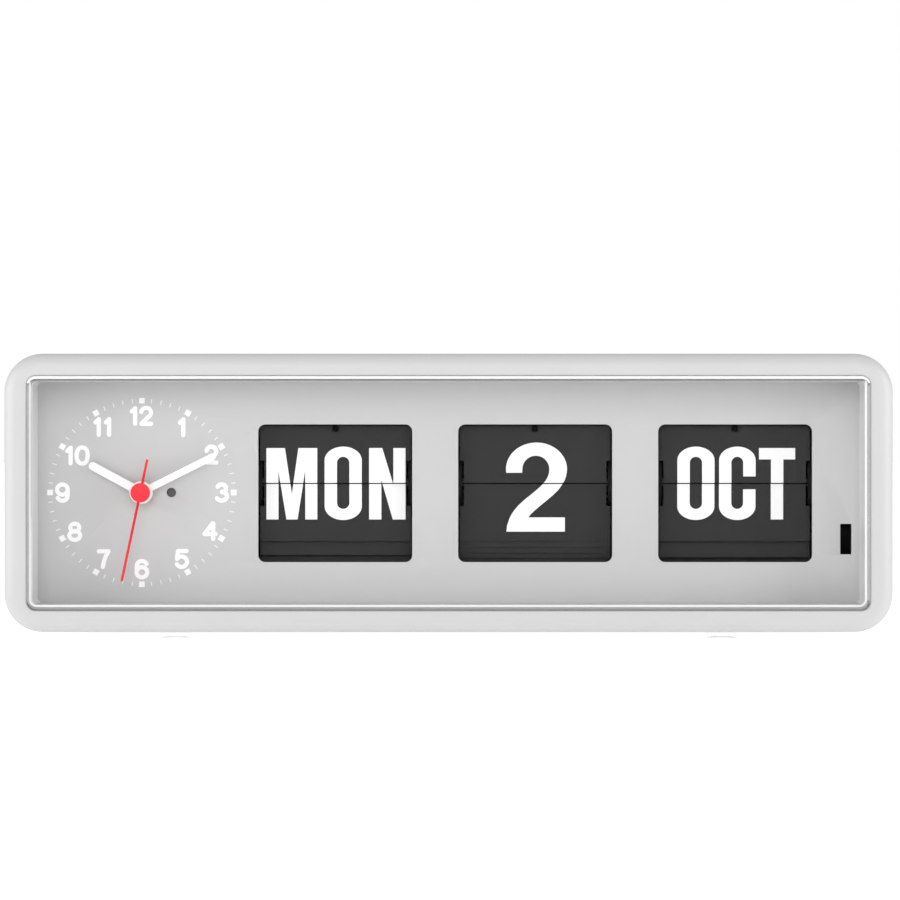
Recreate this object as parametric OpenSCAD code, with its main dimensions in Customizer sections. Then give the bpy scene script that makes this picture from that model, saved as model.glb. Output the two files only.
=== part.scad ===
// Calendar flip clock: a long desk clock with an analogue dial at the left and three
// flip windows for weekday, date and month at the right. Millimetres. The front faces
// -Y, +Z is up, and the origin lies on the standing surface below the middle of the case.

/* [Case] */
// Width of the case
body_w = 335; // [330:1:350]
// Height of the case without its feet
body_h = 105; // [104:1:115]
// Depth from the bezel face to the rear rim
case_d = 91; // [90:1:100]
// Radius of the four corners seen from the front
corner_r = 14.5; // [12:0.5:16]
// Radius of the rounded front edge
edge_r = 5.5; // [3:0.5:6]
// Thickness of the outer walls
wall = 2.6; // [2.2:0.2:3]
// Width of the bezel around the lens
bezel_w = 8.7; // [8.4:0.1:9.2]
// Thickness of the bezel
bezel_t = 3; // [2.4:0.2:4]
// Thickness of the wall that runs from the bezel back to the dial
tunnel_wall = 2; // [1.6:0.2:2.4]
// Depth from the bezel face to the dial face
dial_depth = 22; // [22:0.5:24]
// Depth of the back cover behind the rear rim
cover_recess = 8; // [7.5:0.5:9]
// Thickness of the back cover
cover_t = 2.5; // [2:0.25:3]
// Gap all round between back cover and case
cover_gap = 0.2; // [0.1:0.05:0.4]
// Diameter of the screw bosses of the back cover
boss_d = 7; // [6:0.5:8]
// Diameter of the rubber feet
foot_d = 12; // [10:1:16]
// Height of the rubber feet
foot_h = 2.5; // [2:0.5:4]
// Distance of the feet from the middle, sideways
foot_x = 103.7; // [60:0.1:140]
// Distance of the feet from the middle, front and back
foot_y = 30; // [20:1:36]

/* [Lens] */
// Thickness of the clear lens
lens_t = 2.5; // [2:0.25:3]
// Height of the lens face over the bezel
lens_proud = 1; // [0.5:0.1:1.4]
// Gap all round between lens and bezel
lens_gap = 0.15; // [0.05:0.05:0.3]
// Width of the ledge that the lens rests on
ledge_w = 2.2; // [1.6:0.2:2.6]
// Radius of the lens corners
lens_r = 3.75; // [3:0.25:5]
// Radius of the polished front edge of the lens
lens_edge_r = 0.8; // [0.4:0.1:0.9]

/* [Dial] */
// Thickness of the dial plate
dial_t = 2; // [1.5:0.25:2.5]
// Place of the hands, sideways from the middle
hand_x = -116.9; // [-120:0.1:-114]
// Place of the month window, sideways from the middle
month_x = 109.3; // [108:0.1:111]
// Distance from one window to the next
window_pitch = 76.25; // [75.5:0.25:77]
// Width of a window
window_w = 58.7; // [58.4:0.1:60]
// Height of a window
window_h = 52.5; // [51:0.1:54]
// Height of the middle of the windows below the middle of the case
window_drop = 0.3; // [0:0.1:0.6]
// Radius of the window corners
window_r = 2.7; // [1:0.1:5]
// Distance of the day and night peephole from the hands
peephole_x = 11.2; // [10:0.1:12]
// Diameter of the day and night peephole
peephole_d = 3.6; // [2:0.1:4]
// Width of the leap year slot
slot_w = 4.3; // [3:0.1:4.4]
// Height of the leap year slot
slot_h = 11.6; // [8:0.1:14]
// Radius of the corners of the leap year slot
slot_r = 0.3; // [0.2:0.1:1]
// Place of the leap year slot, sideways from the month window
slot_x = 42.2; // [42:0.1:43]
// Height of the middle of the leap year slot below the middle of the case
slot_down = 17.8; // [16:0.1:19]
// Diameter of the screws of dial, base and back cover
screw_d = 2.6; // [2.2:0.1:3]

/* [Hands] */
// Length of the hour hand from the middle
hour_len = 22.6; // [18:0.1:24]
// Width of the hour hand
hour_w = 3.2; // [2:0.1:4]
// Length of the minute hand from the middle
minute_len = 31.7; // [28:0.1:34]
// Width of the minute hand
minute_w = 2.6; // [2:0.1:4]
// Length of the second hand from the middle
second_len = 34.3; // [28:0.1:36]
// Length of the tail of the second hand
second_tail = 12.9; // [6:0.1:16]
// Width of the second hand
second_w = 0.95; // [0.6:0.05:1.4]
// Diameter of the round of the hour and minute hands
hub_d = 8.65; // [7:0.05:10]
// Diameter of the cap of the second hand
cap_d = 7.3; // [5:0.1:8]
// Place of the hour hand at rest, in degrees clockwise from twelve
hour_at = 298.5; // [0:0.1:360]
// Place of the minute hand at rest, in degrees clockwise from twelve
minute_at = 63.4; // [0:0.1:360]
// Place of the second hand at rest, in degrees clockwise from twelve
second_at = 191.9; // [0:0.1:360]

/* [Motion work] */
// Module of the minute and hour gears
motion_m = 0.5; // [0.46:0.02:0.52]
// Module of the day and night gears
day_m = 0.6; // [0.56:0.02:0.62]
// Module of the second train
second_m = 0.3; // [0.28:0.01:0.32]
// Thickness of the motion work gears
gear_t = 1.2; // [1:0.05:1.3]
// Gap between one layer of gears and the next
layer_gap = 0.5; // [0.4:0.05:0.6]
// Radial gap of a turning fit
run_gap = 0.05; // [0.03:0.01:0.08]
// Radial gap of a pressed seat
seat_gap = 0.01; // [0.01:0.01:0.02]
// Diameter of the second arbor
second_d = 1; // [0.8:0.1:1.2]
// Wall of the minute pipe and of the hour pipe
pipe_wall = 0.95; // [0.9:0.05:1.1]
// Diameter of the setting arbor
setting_d = 2; // [1.8:0.1:2.4]
// Diameter of the setting knob
knob_d = 15; // [12:0.5:18]
// Width and height of the movement
movement_w = 56; // [54:1:58]
// Depth of the movement case
movement_d = 16; // [15:0.5:17]
// Wall of the movement case
movement_wall = 1.5; // [1.2:0.1:1.8]

/* [Flaps] */
// Width of a flap
flap_w = 57.6; // [56.8:0.1:57.6]
// Height of a flap from its pins to its free edge
flap_h = 21.6; // [20.5:0.1:22]
// Width of the edge of a flap past its pins
flap_lip = 0.25; // [0.1:0.05:0.3]
// Thickness of a flap in the pack
flap_t = 0.2; // [0.15:0.01:0.22]
// Thickness of the leaf that falls
leaf_t = 0.4; // [0.3:0.05:0.5]
// Lean of the standing leaf to the rear, in degrees
leaf_lean = 1.75; // [1:0.25:2]
// Diameter of the flap pins
pin_d = 0.6; // [0.5:0.05:0.7]
// Height of the flap split over the middle of the case
split_up = 3.9; // [3:0.1:4.2]
// Distance of the leaf pins from the drum axis
leaf_r = 12.2; // [12:0.1:12.4]
// Distance of the pack pins from the drum axis
pack_r = 11.3; // [11.2:0.05:11.4]
// Radius of the drum discs
disc_r = 13.8; // [13.6:0.1:14]
// Thickness of the drum discs
disc_t = 1.2; // [1:0.1:1.2]
// Flaps of the weekday drum, each day twice
weekday_count = 14; // [7:7:14]
// Flaps of the date drum
date_count = 31; // [28:1:31]
// Flaps of the month drum
month_count = 12; // [12:1:12]

/* [Calendar drive] */
// Module of the drum gears
drum_m = 0.7; // [0.69:0.01:0.71]
// Diameter of the drum axle
axle_d = 3; // [2.6:0.1:3.4]
// Diameter of the thumbwheel axle
thumb_axle_d = 2.5; // [2:0.1:3]
// Diameter of the thumbwheels
thumb_d = 40; // [39:0.5:41]
// Width of the knurled rim of a thumbwheel
thumb_w = 2.6; // [2:0.1:2.7]
// Thickness of the cheeks
cheek_t = 2; // [1.6:0.1:2.2]
// Thickness of the calendar base
base_t = 2; // [1.6:0.2:2.4]
// Diameter of the leap year wheel
leap_d = 34; // [32:0.5:34.5]

/* [Battery] */
// Diameter of the cell
cell_d = 26.2; // [25.5:0.1:27]
// Length of the cell
cell_len = 50; // [49:0.5:51]
// Wall of the battery tray
tray_wall = 1.6; // [1.2:0.1:1.6]
// Room for the spring at the end of the cell
spring_room = 4; // [3:0.5:5]
// Thickness of the battery door
door_t = 2; // [1.5:0.25:2.5]

/* [Hidden] */
$fn = 64;
eps = 1;

// Levels from front to back, and the middle of the case
y_front = -(case_d + lens_proud) / 2;
y_bezel = y_front + lens_proud;
y_rear = y_bezel + case_d;
y_dial = y_bezel + dial_depth;
y_back = y_dial + dial_t;
y_cover = y_rear - cover_recess;
y_cover_in = y_cover - cover_t;
z_floor = foot_h + wall;
z_mid = foot_h + body_h / 2;

// Outlines of the case
inner_w = body_w - 2 * wall;
inner_h = body_h - 2 * wall;
inner_r = corner_r - wall;
opening_w = body_w - 2 * bezel_w;
bezel_trim = 0.9;
opening_h = body_h - 2 * bezel_w + bezel_trim;
tunnel_w = opening_w - 2 * ledge_w;
tunnel_h = opening_h - 2 * ledge_w;
tunnel_r = 2;
edge_steps = 10;
plate_w = tunnel_w + 2 * tunnel_wall;
plate_h = tunnel_h + 2 * tunnel_wall;
plate_r = tunnel_r + tunnel_wall;

// Screws: back cover, dial plate and calendar base
screw_head_d = 2 * screw_d;
screw_head_t = 1.6;
cover_screw_len = 10;
short_screw_len = 7;
corner_boss_len = 24;
wall_boss_len = 6.5;
base_screw_deep = 2.5;
screw_play = 0.4;
head_room = 0.3;
boss_inset = corner_r - (inner_r - screw_head_d / 2 - head_room) / sqrt(2);
cover_screws = [
  for (x = [-1, 1], z = [-1, 1]) [x * (body_w / 2 - boss_inset), z_mid + z * (body_h / 2 - boss_inset)],
  [0, foot_h + boss_inset], [0, foot_h + body_h - boss_inset]
];
ear_d = 6;
dial_screw_len = 9;
dial_screw_x = [-140, -40, 40, 140];
dial_screws_at = [for (x = dial_screw_x, s = [-1, 1]) [x, z_mid + s * (plate_h + ear_d - 1) / 2]];

// Motion work: layers behind the dial, then the movement
y_day = y_back + layer_gap;
y_hour = y_day + gear_t + layer_gap;
y_cannon = y_hour + gear_t + layer_gap;
y_move = y_cannon + gear_t + layer_gap;
y_move_in = y_move + movement_wall;
y_move_rear = y_move + movement_d;
y_move_cover = y_move_rear + movement_wall;
movement_in = movement_w - 2 * movement_wall;
post_at = movement_w / 2 - 4;
hand_z = z_mid;
minute_bore = second_d + 2 * run_gap;
minute_pipe = minute_bore + 2 * pipe_wall;
hour_bore = minute_pipe + 2 * run_gap;
hour_pipe = hour_bore + 2 * pipe_wall;
bush_bore = hour_pipe + 2 * run_gap;
bush_wall = 0.8;
bush_d = bush_bore + 2 * bush_wall;
bush_flange_d = bush_d + 2 * bush_wall;
bush_flange_t = 1.3;

// Hands, from the dial outwards
hand_t = 1;
second_t = 0.6;
hand_step = 1.5;
y_hour_hand = y_dial - bush_flange_t - 0.7 - hand_t;
y_minute_hand = y_hour_hand - hand_step - hand_t;
y_second_hand = y_minute_hand - hand_step - hand_t;
cap_t = 2;

// Teeth, and the places of the wheels around the hands
cannon_n = 15;
minute_n = 45;
minute_pinion_n = 12;
hour_n = 48;
hour_pinion_n = 20;
day_n = 40;
second_n = 60;
fifth_n = 50;
small_n = 10;
setting_dir = 135;
day_dir = -17.1;
fifth_dir = -90;
rotor_dir = 0;
function polar(r, a) = [r * cos(a), r * sin(a)];
setting_at = polar(motion_m * (cannon_n + minute_n) / 2, setting_dir);
day_at = polar(day_m * (hour_pinion_n + day_n) / 2, day_dir);
fifth_at = polar(second_m * (second_n + small_n) / 2, fifth_dir);
rotor_at = fifth_at + polar(second_m * (fifth_n + small_n) / 2, rotor_dir);
train_t = 1;
y_second_wheel = y_move_in + 2;
y_fifth_wheel = y_second_wheel + train_t + 1.5;
y_rotor = y_fifth_wheel + train_t + 1;
rotor_t = 3;
rotor_d = 5;
day_pin_d = 2;
knob_gap = 0.5;
knob_t = 6;
knob_ribs = 24;
rib_d = 1.4;
rib_out = 0.6;
arbor_out = 5;
cover_post_d = 5;

// Step motor and circuit board inside the movement
stator_t = 1;
stator_limb = 3;
stator_w = 22;
stator_drop = 13;
stator_left = 6;
stator_rise = 4;
stator_post_d = 3;
stator_post_x = 13;
y_stator = y_rotor + rotor_t / 2 - stator_t / 2;
stator_posts = [rotor_at + [stator_post_x, 0], rotor_at + [stator_post_x, stator_limb / 2 - stator_drop]];
coil_d = 6.4;
coil_len = 12;
coil_start = -2;
board_t = 1;
board_corner = [-4, 12];
board_size = [28, 12];
board_post_d = 4;
board_posts = [[2, 18], [20, 18]];
y_board = y_move_rear - 2 * board_t;
crystal_d = 3;
crystal_len = 8;
crystal_at = [7, 15];

// Battery behind the movement
tray_len = cell_len + spring_room + 3;
tray_h = cell_d + 1.8;
tray_floor = y_cover_in - cell_d - 2.4;
tray_x = hand_x + 1.4;
tray_up = 22.4;
tray_z = z_floor + tray_up;
tray_left = tray_x - tray_len / 2;
tray_right = tray_x + tray_len / 2;
cell_rest = 0.1;
cell_y = tray_floor + 0.6 + cell_d / 2;
cell_z = tray_z - tray_h / 2 + cell_rest + cell_d / 2;
cell_left = tray_left + spring_room;
cell_nub_d = 7.5;
cell_nub_t = 1.5;
contact_t = 0.5;
touch_gap = 0.05;
door_lap = 3;
door_w = tray_len + 2 * door_lap;
door_h = tray_h + 2 * door_lap;
door_gap = 0.3;
rail_w = 2.4;
rail_lip = 1.4;
rail_lip_t = 1.4;

// Calendar unit
drum_y = y_back + 1 + leaf_r;
drum_z = z_mid + split_up;
weekday_x = month_x - 2 * window_pitch;
date_x = month_x - window_pitch;
modules_x = [weekday_x, date_x, month_x];
cheeks_x = [for (i = [0 : 3]) weekday_x + (i - 0.5) * window_pitch];
flap_side = flap_w / 2;
notch_in = 1.6;
notch_h = 8.2;
pin_tab = 0.5;
pin_tab_h = 0.6;
pin_end = flap_side - 0.2;
disc_in = flap_side - 0.9;
groove_deep = pin_end - disc_in + 0.2;
groove_in = pack_r - pin_d / 2 - 0.3;
groove_out = leaf_r + pin_d / 2 + 0.3;
pack_start = 4.5;
fold_from = 150;
hang_from = 270;
gather = 0.04;
drum_n = 36;
thumb_n = 52;
leap_pinion_n = 12;
leap_n = 48;
thumb_y = drum_y + drum_m * (drum_n + thumb_n) / 2;
leap_dir = -76.8;
leap_at = [drum_y, drum_z] + polar(drum_m * (leap_pinion_n + leap_n) / 2, leap_dir);
drum_gear_x = flap_side + 1.4;
collar_r = drum_y - y_back - 0.4;
collar_in = disc_in + groove_deep + 0.1;
collar_out = drum_gear_x - 0.3;
drum_gear_t = 2;
thumb_rim_x = drum_gear_x + drum_gear_t + 0.3;
thumb_gap = 0.6;
thumb_slot_h = 2 * sqrt(pow(thumb_d / 2, 2) - pow(y_cover_in - thumb_y, 2)) + 2 * thumb_gap;
hub_half = window_pitch / 2 - cheek_t / 2 - 0.2;
leap_pinion_x = hub_half - 1.5;
leap_wheel_w = 4;
drum_hub_d = 7;
thumb_hub_d = 5.4;
y_cheek = y_back + 0.6;
y_cheek_rear = thumb_y + 5;
cheek_rise = 36;
cheek_top = z_mid + cheek_rise;
base_z = z_floor + 1.9;
base_top = base_z + base_t;
base_front = y_back + 2.5;
base_rear = y_cheek_rear + 1;
base_screws_at = [for (x = [0, 2], y = [base_front + 6, base_rear - 8]) [modules_x[x], y]];
finger_t = 0.5;
finger_w = 1.7;
finger_gap = 0.4;
finger_tip = 2.4;
window_z = z_mid - window_drop;
window_top = window_z + window_h / 2;
finger_notch_h = drum_z + flap_h - window_top + finger_tip + finger_gap;
detent_t = 0.4;
knurl_count = 60;
keyhole_x = 100;
keyhole_down = 24.5;
keyhole_z = foot_h + body_h - keyhole_down;
keyhole_d = 8;
keyhole_slot = 4;
keyhole_up = 8;

// Gear teeth: straight flanks through an involute's root and tip points
pressure = 25;
function invol(a) = tan(a) * 180 / PI - a;
function half_at(r, n, m) =
  90 / n * 0.86 + invol(pressure) - invol(acos(min(1, m * n / 2 * cos(pressure) / r)));
function gear_tip(n, m) = m * n / 2 + 0.75 * m;
function gear_root(n, m) = m * n / 2 - 1.05 * m;
function gap_at(dir, n) = dir + 180 / n;
module gear(n, m, phase) {
  tip = gear_tip(n, m);
  root = gear_root(n, m);
  tip_half = half_at(tip, n, m);
  root_half = half_at(root, n, m);
  polygon([for (i = [0 : n - 1]) let (a = phase + i * 360 / n) each [
    polar(root, a - root_half), polar(tip, a - tip_half),
    polar(tip, a + tip_half), polar(root, a + root_half)
  ]]);
}

// Extrusions: along Y the outline is drawn in X and Z, along X in Y and Z
module along_y(y0, y1) {
  translate([0, y1, 0]) rotate([90, 0, 0]) linear_extrude(y1 - y0) children();
}
module along_x(x0, x1) {
  translate([x0, 0, 0]) rotate([90, 0, 90]) linear_extrude(x1 - x0) children();
}
module along_z(z0, z1) {
  translate([0, 0, z0]) linear_extrude(z1 - z0) children();
}
module rod_y(at, d, y0, y1) {
  along_y(y0, y1) translate(at) circle(d = d);
}
module rod_x(at, d, x0, x1) {
  along_x(x0, x1) translate(at) circle(d = d);
}
module round_rect(w, h, r) {
  square([w - 2 * r, h], center = true);
  square([w, h - 2 * r], center = true);
  for (x = [-1, 1], y = [-1, 1]) translate([x * (w / 2 - r), y * (h / 2 - r)]) circle(r);
}
module at_mid() {
  translate([0, z_mid]) children();
}
module at_hands() {
  translate([hand_x, 0, hand_z]) children();
}

// A slab with rounded corners whose front edge is rounded too: four turned corners, four
// straight edges and the middle. The profile is given as distance outwards and depth.
function edge_profile(r, e, d) = [
  [0, 0],
  for (i = [0 : edge_steps]) let (a = 90 * i / edge_steps) [r - e + e * sin(a), e - e * cos(a)],
  [r, d], [0, d]
];
function swapped(pts) = [for (i = [len(pts) - 1 : -1 : 0]) [pts[i][1], pts[i][0]]];
module edge_slab(w, h, r, e, y0, y1) {
  profile = edge_profile(r, e, y1 - y0);
  half_w = w / 2 - r;
  half_h = h / 2 - r;
  translate([0, y0, z_mid]) {
    along_y(0, y1 - y0) square([2 * half_w, 2 * half_h], center = true);
    for (x = [0, 1]) mirror([x, 0, 0]) {
      translate([half_w, 0, 0]) along_z(-half_h, half_h) polygon(profile);
      for (z = [0, 1]) mirror([0, 0, z]) translate([half_w, 0, half_h])
        rotate([-90, 0, 0]) rotate([0, 0, -90]) rotate_extrude(angle = 90) polygon(profile);
    }
    for (z = [0, 1]) mirror([0, 0, z]) translate([0, 0, half_h])
      along_x(-half_w, half_w) polygon(swapped(profile));
  }
}

// A screw along Y with its head at the rear
module screw_y(at, head_y, len) {
  rod_y(at, screw_head_d, head_y, head_y + screw_head_t);
  rod_y(at, screw_d - 2 * seat_gap, head_y - len, head_y + screw_head_t / 2);
}

module case_shell() {
  color("gainsboro") difference() {
    union() {
      difference() {
        edge_slab(body_w, body_h, corner_r, edge_r, y_bezel, y_rear);
        along_y(y_bezel + bezel_t, y_rear + eps) at_mid() round_rect(inner_w, inner_h, inner_r);
      }
      along_y(y_bezel + bezel_t / 2, y_dial) at_mid() round_rect(plate_w, plate_h, plate_r);
      for (p = dial_screws_at) rod_y(p, ear_d, y_bezel + bezel_t / 2, y_dial);
      for (i = [0 : 3]) rod_y(cover_screws[i], boss_d, y_cover_in - corner_boss_len, y_cover_in);
      for (i = [4, 5]) wall_boss(cover_screws[i]);
      for (p = base_screws_at) translate([p[0], p[1], foot_h + wall / 2])
        cylinder(h = base_z - foot_h - wall / 2, d = boss_d);
    }
    along_y(y_bezel - edge_r, y_front + lens_t) at_mid()
      round_rect(opening_w, opening_h, lens_r);
    along_y(y_bezel - edge_r, y_dial + eps) at_mid() round_rect(tunnel_w, tunnel_h, tunnel_r);
    for (p = dial_screws_at) rod_y(p, screw_d, y_dial - dial_screw_len, y_dial + eps);
    for (i = [0 : 3]) rod_y(cover_screws[i], screw_d, y_cover - cover_screw_len - 1, y_cover);
    for (i = [4, 5]) rod_y(cover_screws[i], screw_d, y_cover - short_screw_len - 1, y_cover);
    for (p = base_screws_at) translate([p[0], p[1], base_z - base_screw_deep - screw_play])
      cylinder(h = base_screw_deep + screw_play + eps, d = screw_d);
  }
}

// A short boss on the floor or the ceiling of the case, with a foot down to its wall
module wall_boss(at) {
  foot = sign(at[1] - z_mid);
  along_y(y_cover_in - wall_boss_len, y_cover_in) translate(at) {
    circle(d = boss_d);
    translate([-boss_d / 2, foot > 0 ? 0 : -boss_inset + wall / 2])
      square([boss_d, boss_inset - wall / 2]);
  }
}

module front_lens() {
  color("white", 0.25) edge_slab(opening_w - 2 * lens_gap, opening_h - 2 * lens_gap,
    lens_r - lens_gap, lens_edge_r, y_front, y_front + lens_t);
}

module dial_plate() {
  color("silver") along_y(y_dial, y_back) difference() {
    union() {
      at_mid() round_rect(plate_w, plate_h, plate_r);
      for (p = dial_screws_at) translate(p) circle(d = ear_d);
    }
    for (x = modules_x) translate([x, window_z]) round_rect(window_w, window_h, window_r);
    translate([hand_x, hand_z]) circle(d = bush_d + 2 * seat_gap);
    translate([hand_x + peephole_x, hand_z]) circle(d = peephole_d);
    translate([month_x + slot_x, z_mid - slot_down]) round_rect(slot_w, slot_h, slot_r);
    for (p = dial_screws_at) translate(p) circle(d = screw_d + screw_play);
  }
}

// A keyhole: the screw head goes in at the round end and hangs in the slot
module keyhole() {
  circle(d = keyhole_d);
  translate([-keyhole_slot / 2, 0]) square([keyhole_slot, keyhole_up]);
  translate([0, keyhole_up]) circle(d = keyhole_slot);
}

module back_cover() {
  color("lightgray") {
    along_y(y_cover_in, y_cover) difference() {
      at_mid() round_rect(inner_w - 2 * cover_gap, inner_h - 2 * cover_gap, inner_r - cover_gap);
      for (p = cover_screws) translate(p) circle(d = screw_d + screw_play);
      for (s = [-1, 1]) translate([s * keyhole_x, keyhole_z]) keyhole();
      for (x = modules_x) translate([x + drum_gear_x - thumb_gap, drum_z - thumb_slot_h / 2])
        square([thumb_rim_x + thumb_w - drum_gear_x + 2 * thumb_gap, thumb_slot_h]);
      translate([hand_x, hand_z] + setting_at) circle(d = setting_d + 1);
      translate([tray_x, tray_z]) square([tray_len, tray_h], center = true);
    }
    battery_tray();
    for (s = [-1, 1]) translate([0, 0, tray_z]) door_rail(s);
  }
}

module battery_tray() {
  along_y(tray_floor, y_cover_in) translate([tray_x, tray_z]) difference() {
    square([tray_len + 2 * tray_wall, tray_h + 2 * tray_wall], center = true);
    square([tray_len, tray_h], center = true);
  }
  along_y(tray_floor - tray_wall, tray_floor) translate([tray_x, tray_z])
    square([tray_len + 2 * tray_wall, tray_h + 2 * tray_wall], center = true);
}

// One of the two rails that the battery door slides in, drawn in Y and Z
module door_rail(s) {
  low = door_h / 2 + door_gap;
  along_x(tray_x - door_w / 2, tray_x + door_w / 2) mirror([0, s < 0 ? 1 : 0]) {
    translate([y_cover, low]) square([door_t + door_gap + rail_lip_t, rail_w]);
    translate([y_cover + door_t + door_gap, low - rail_lip]) square([rail_lip_t, rail_lip + rail_w]);
  }
}

module battery_door() {
  color("lightgray") translate([tray_x, 0, tray_z]) difference() {
    along_y(y_cover, y_cover + door_t) square([door_w, door_h], center = true);
    for (i = [-2 : 2]) translate([-door_w / 2 + 8 + i * 2, y_cover + door_t, 0])
      cube([0.9, 1.2, door_h / 2], center = true);
  }
}

module case_screws() {
  color("silver") for (i = [0 : 5])
    screw_y(cover_screws[i], y_cover, i < 4 ? cover_screw_len : short_screw_len);
}

module dial_screws() {
  color("silver") for (p = dial_screws_at) screw_y(p, y_back, dial_screw_len + dial_t - 1);
}

module base_screws() {
  color("silver") for (p = base_screws_at) translate([p[0], p[1], 0]) {
    translate([0, 0, base_top]) cylinder(h = screw_head_t, d = screw_head_d);
    translate([0, 0, base_z - base_screw_deep])
      cylinder(h = base_screw_deep + base_t + screw_head_t / 2, d = screw_d - 2 * seat_gap);
  }
}

module rubber_feet() {
  color("dimgray") for (x = [-1, 1], y = [-1, 1]) translate([x * foot_x, y * foot_y, 0])
    cylinder(h = foot_h, d = foot_d);
}

module battery_cell() {
  color("tan") {
    rod_x([cell_y, cell_z], cell_d, cell_left, cell_left + cell_len - cell_nub_t);
    rod_x([cell_y, cell_z], cell_nub_d, cell_left + cell_len - 2 * cell_nub_t, cell_left + cell_len);
  }
}

// A flat plate on the tray wall with a bent leaf that presses on the cell
module battery_spring() {
  rise = spring_room - contact_t - touch_gap;
  color("silver") {
    along_z(cell_z - 5, cell_z + 5) translate([tray_left, cell_y]) {
      translate([0, -10]) square([contact_t, 20]);
      polygon([
        [contact_t / 2, 9], [contact_t + rise, 1.2], [contact_t + rise, -1.2], [contact_t / 2, -9],
        [contact_t / 2, -8], [rise, -0.8], [rise, 0.8], [contact_t / 2, 8]
      ]);
    }
  }
}

module battery_contact() {
  color("silver") {
    along_x(tray_right - contact_t, tray_right) translate([cell_y, cell_z]) square([18, 12], center = true);
    rod_x([cell_y, cell_z], 6, cell_left + cell_len + touch_gap, tray_right - contact_t / 2);
  }
}

// Two stiff wires from the tray to the movement
module battery_leads() {
  color("firebrick") for (s = [-1, 1])
    rod_y([tray_x + s * 14, tray_z + 6], 1.4, y_move_cover, tray_floor - tray_wall);
}

module movement_case() {
  color("black") at_hands() difference() {
    union() {
      difference() {
        along_y(y_move, y_move_rear) round_rect(movement_w, movement_w, 4);
        along_y(y_move_in, y_move_rear + eps) round_rect(movement_in, movement_in, 2.5);
      }
      for (x = [-1, 1], z = [-1, 1]) rod_y([x, z] * post_at, cover_post_d, y_back, y_move);
      rod_y(day_at, 2 * day_pin_d, y_day + gear_t + run_gap, y_move);
      rod_y(day_at, day_pin_d, y_back, y_move);
      for (p = board_posts) rod_y(p, board_post_d, y_move_in - movement_wall / 2, y_board);
      for (p = stator_posts) rod_y(p, stator_post_d, y_move_in - movement_wall / 2, y_stator);
    }
    for (p = [[0, 0], fifth_at, rotor_at]) rod_y(p, minute_bore, y_move - eps, y_move_in + eps);
    rod_y(setting_at, setting_d + 2 * run_gap, y_move - eps, y_move_in + eps);
  }
}

module movement_cover() {
  color("black") at_hands() difference() {
    along_y(y_move_rear, y_move_cover) round_rect(movement_w, movement_w, 4);
    for (p = [[0, 0], fifth_at, rotor_at]) rod_y(p, minute_bore, y_move_rear - eps, y_move_cover + eps);
    rod_y(setting_at, setting_d + 2 * run_gap, y_move_rear - eps, y_move_cover + eps);
  }
}

module dial_bush() {
  color("goldenrod") at_hands() difference() {
    union() {
      rod_y([0, 0], bush_d, y_dial - bush_flange_t, y_back + layer_gap / 2);
      rod_y([0, 0], bush_flange_d, y_dial - bush_flange_t, y_dial);
    }
    rod_y([0, 0], bush_bore, y_dial - 2 * bush_flange_t, y_back + layer_gap);
  }
}

// A straight hand with a round end, drawn pointing at twelve and turned clockwise
module hand(at, len, w, tail, hub, y0, y1) {
  along_y(y0, y1) rotate(-at) {
    circle(d = hub);
    translate([-w / 2, -tail]) square([w, len + tail - w / 2]);
    translate([0, len - w / 2]) circle(d = w);
  }
}

module hour_hand() {
  color("white") at_hands() difference() {
    hand(hour_at, hour_len, hour_w, 0, hub_d, y_hour_hand, y_hour_hand + hand_t);
    rod_y([0, 0], hour_pipe + 2 * seat_gap, y_hour_hand - eps, y_dial);
  }
}

module minute_hand() {
  color("white") at_hands() difference() {
    hand(minute_at, minute_len, minute_w, 0, hub_d, y_minute_hand, y_minute_hand + hand_t);
    rod_y([0, 0], minute_pipe + 2 * seat_gap, y_minute_hand - eps, y_dial);
  }
}

module second_hand() {
  color("red") at_hands() difference() {
    union() {
      hand(second_at, second_len, second_w, second_tail, cap_d, y_second_hand, y_second_hand + second_t);
      rod_y([0, 0], cap_d, y_second_hand - cap_t, y_second_hand + second_t);
    }
    rod_y([0, 0], second_d + 2 * seat_gap, y_second_hand, y_dial);
  }
}

module hour_wheel() {
  color("ivory") at_hands() difference() {
    union() {
      rod_y([0, 0], hour_pipe, y_hour_hand, y_hour + gear_t);
      along_y(y_day, y_day + gear_t) gear(hour_pinion_n, day_m, day_dir);
      along_y(y_hour, y_hour + gear_t) gear(hour_n, motion_m, gap_at(setting_dir, hour_n));
    }
    rod_y([0, 0], hour_bore, y_hour_hand - eps, y_move);
  }
}

module cannon_pinion() {
  color("ivory") at_hands() difference() {
    union() {
      rod_y([0, 0], minute_pipe, y_minute_hand, y_cannon + gear_t);
      along_y(y_cannon, y_cannon + gear_t) gear(cannon_n, motion_m, setting_dir);
    }
    rod_y([0, 0], minute_bore, y_minute_hand - eps, y_move);
  }
}

module minute_wheel() {
  color("ivory") at_hands() translate([setting_at[0], 0, setting_at[1]]) difference() {
    union() {
      along_y(y_hour, y_cannon + gear_t / 2) gear(minute_pinion_n, motion_m, setting_dir + 180);
      along_y(y_cannon, y_cannon + gear_t) gear(minute_n, motion_m, gap_at(setting_dir + 180, minute_n));
    }
    rod_y([0, 0], setting_d + 2 * seat_gap, y_hour - eps, y_move);
  }
}

module setting_arbor() {
  color("silver") at_hands() rod_y(setting_at, setting_d, y_hour, y_cover + arbor_out);
}

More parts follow.
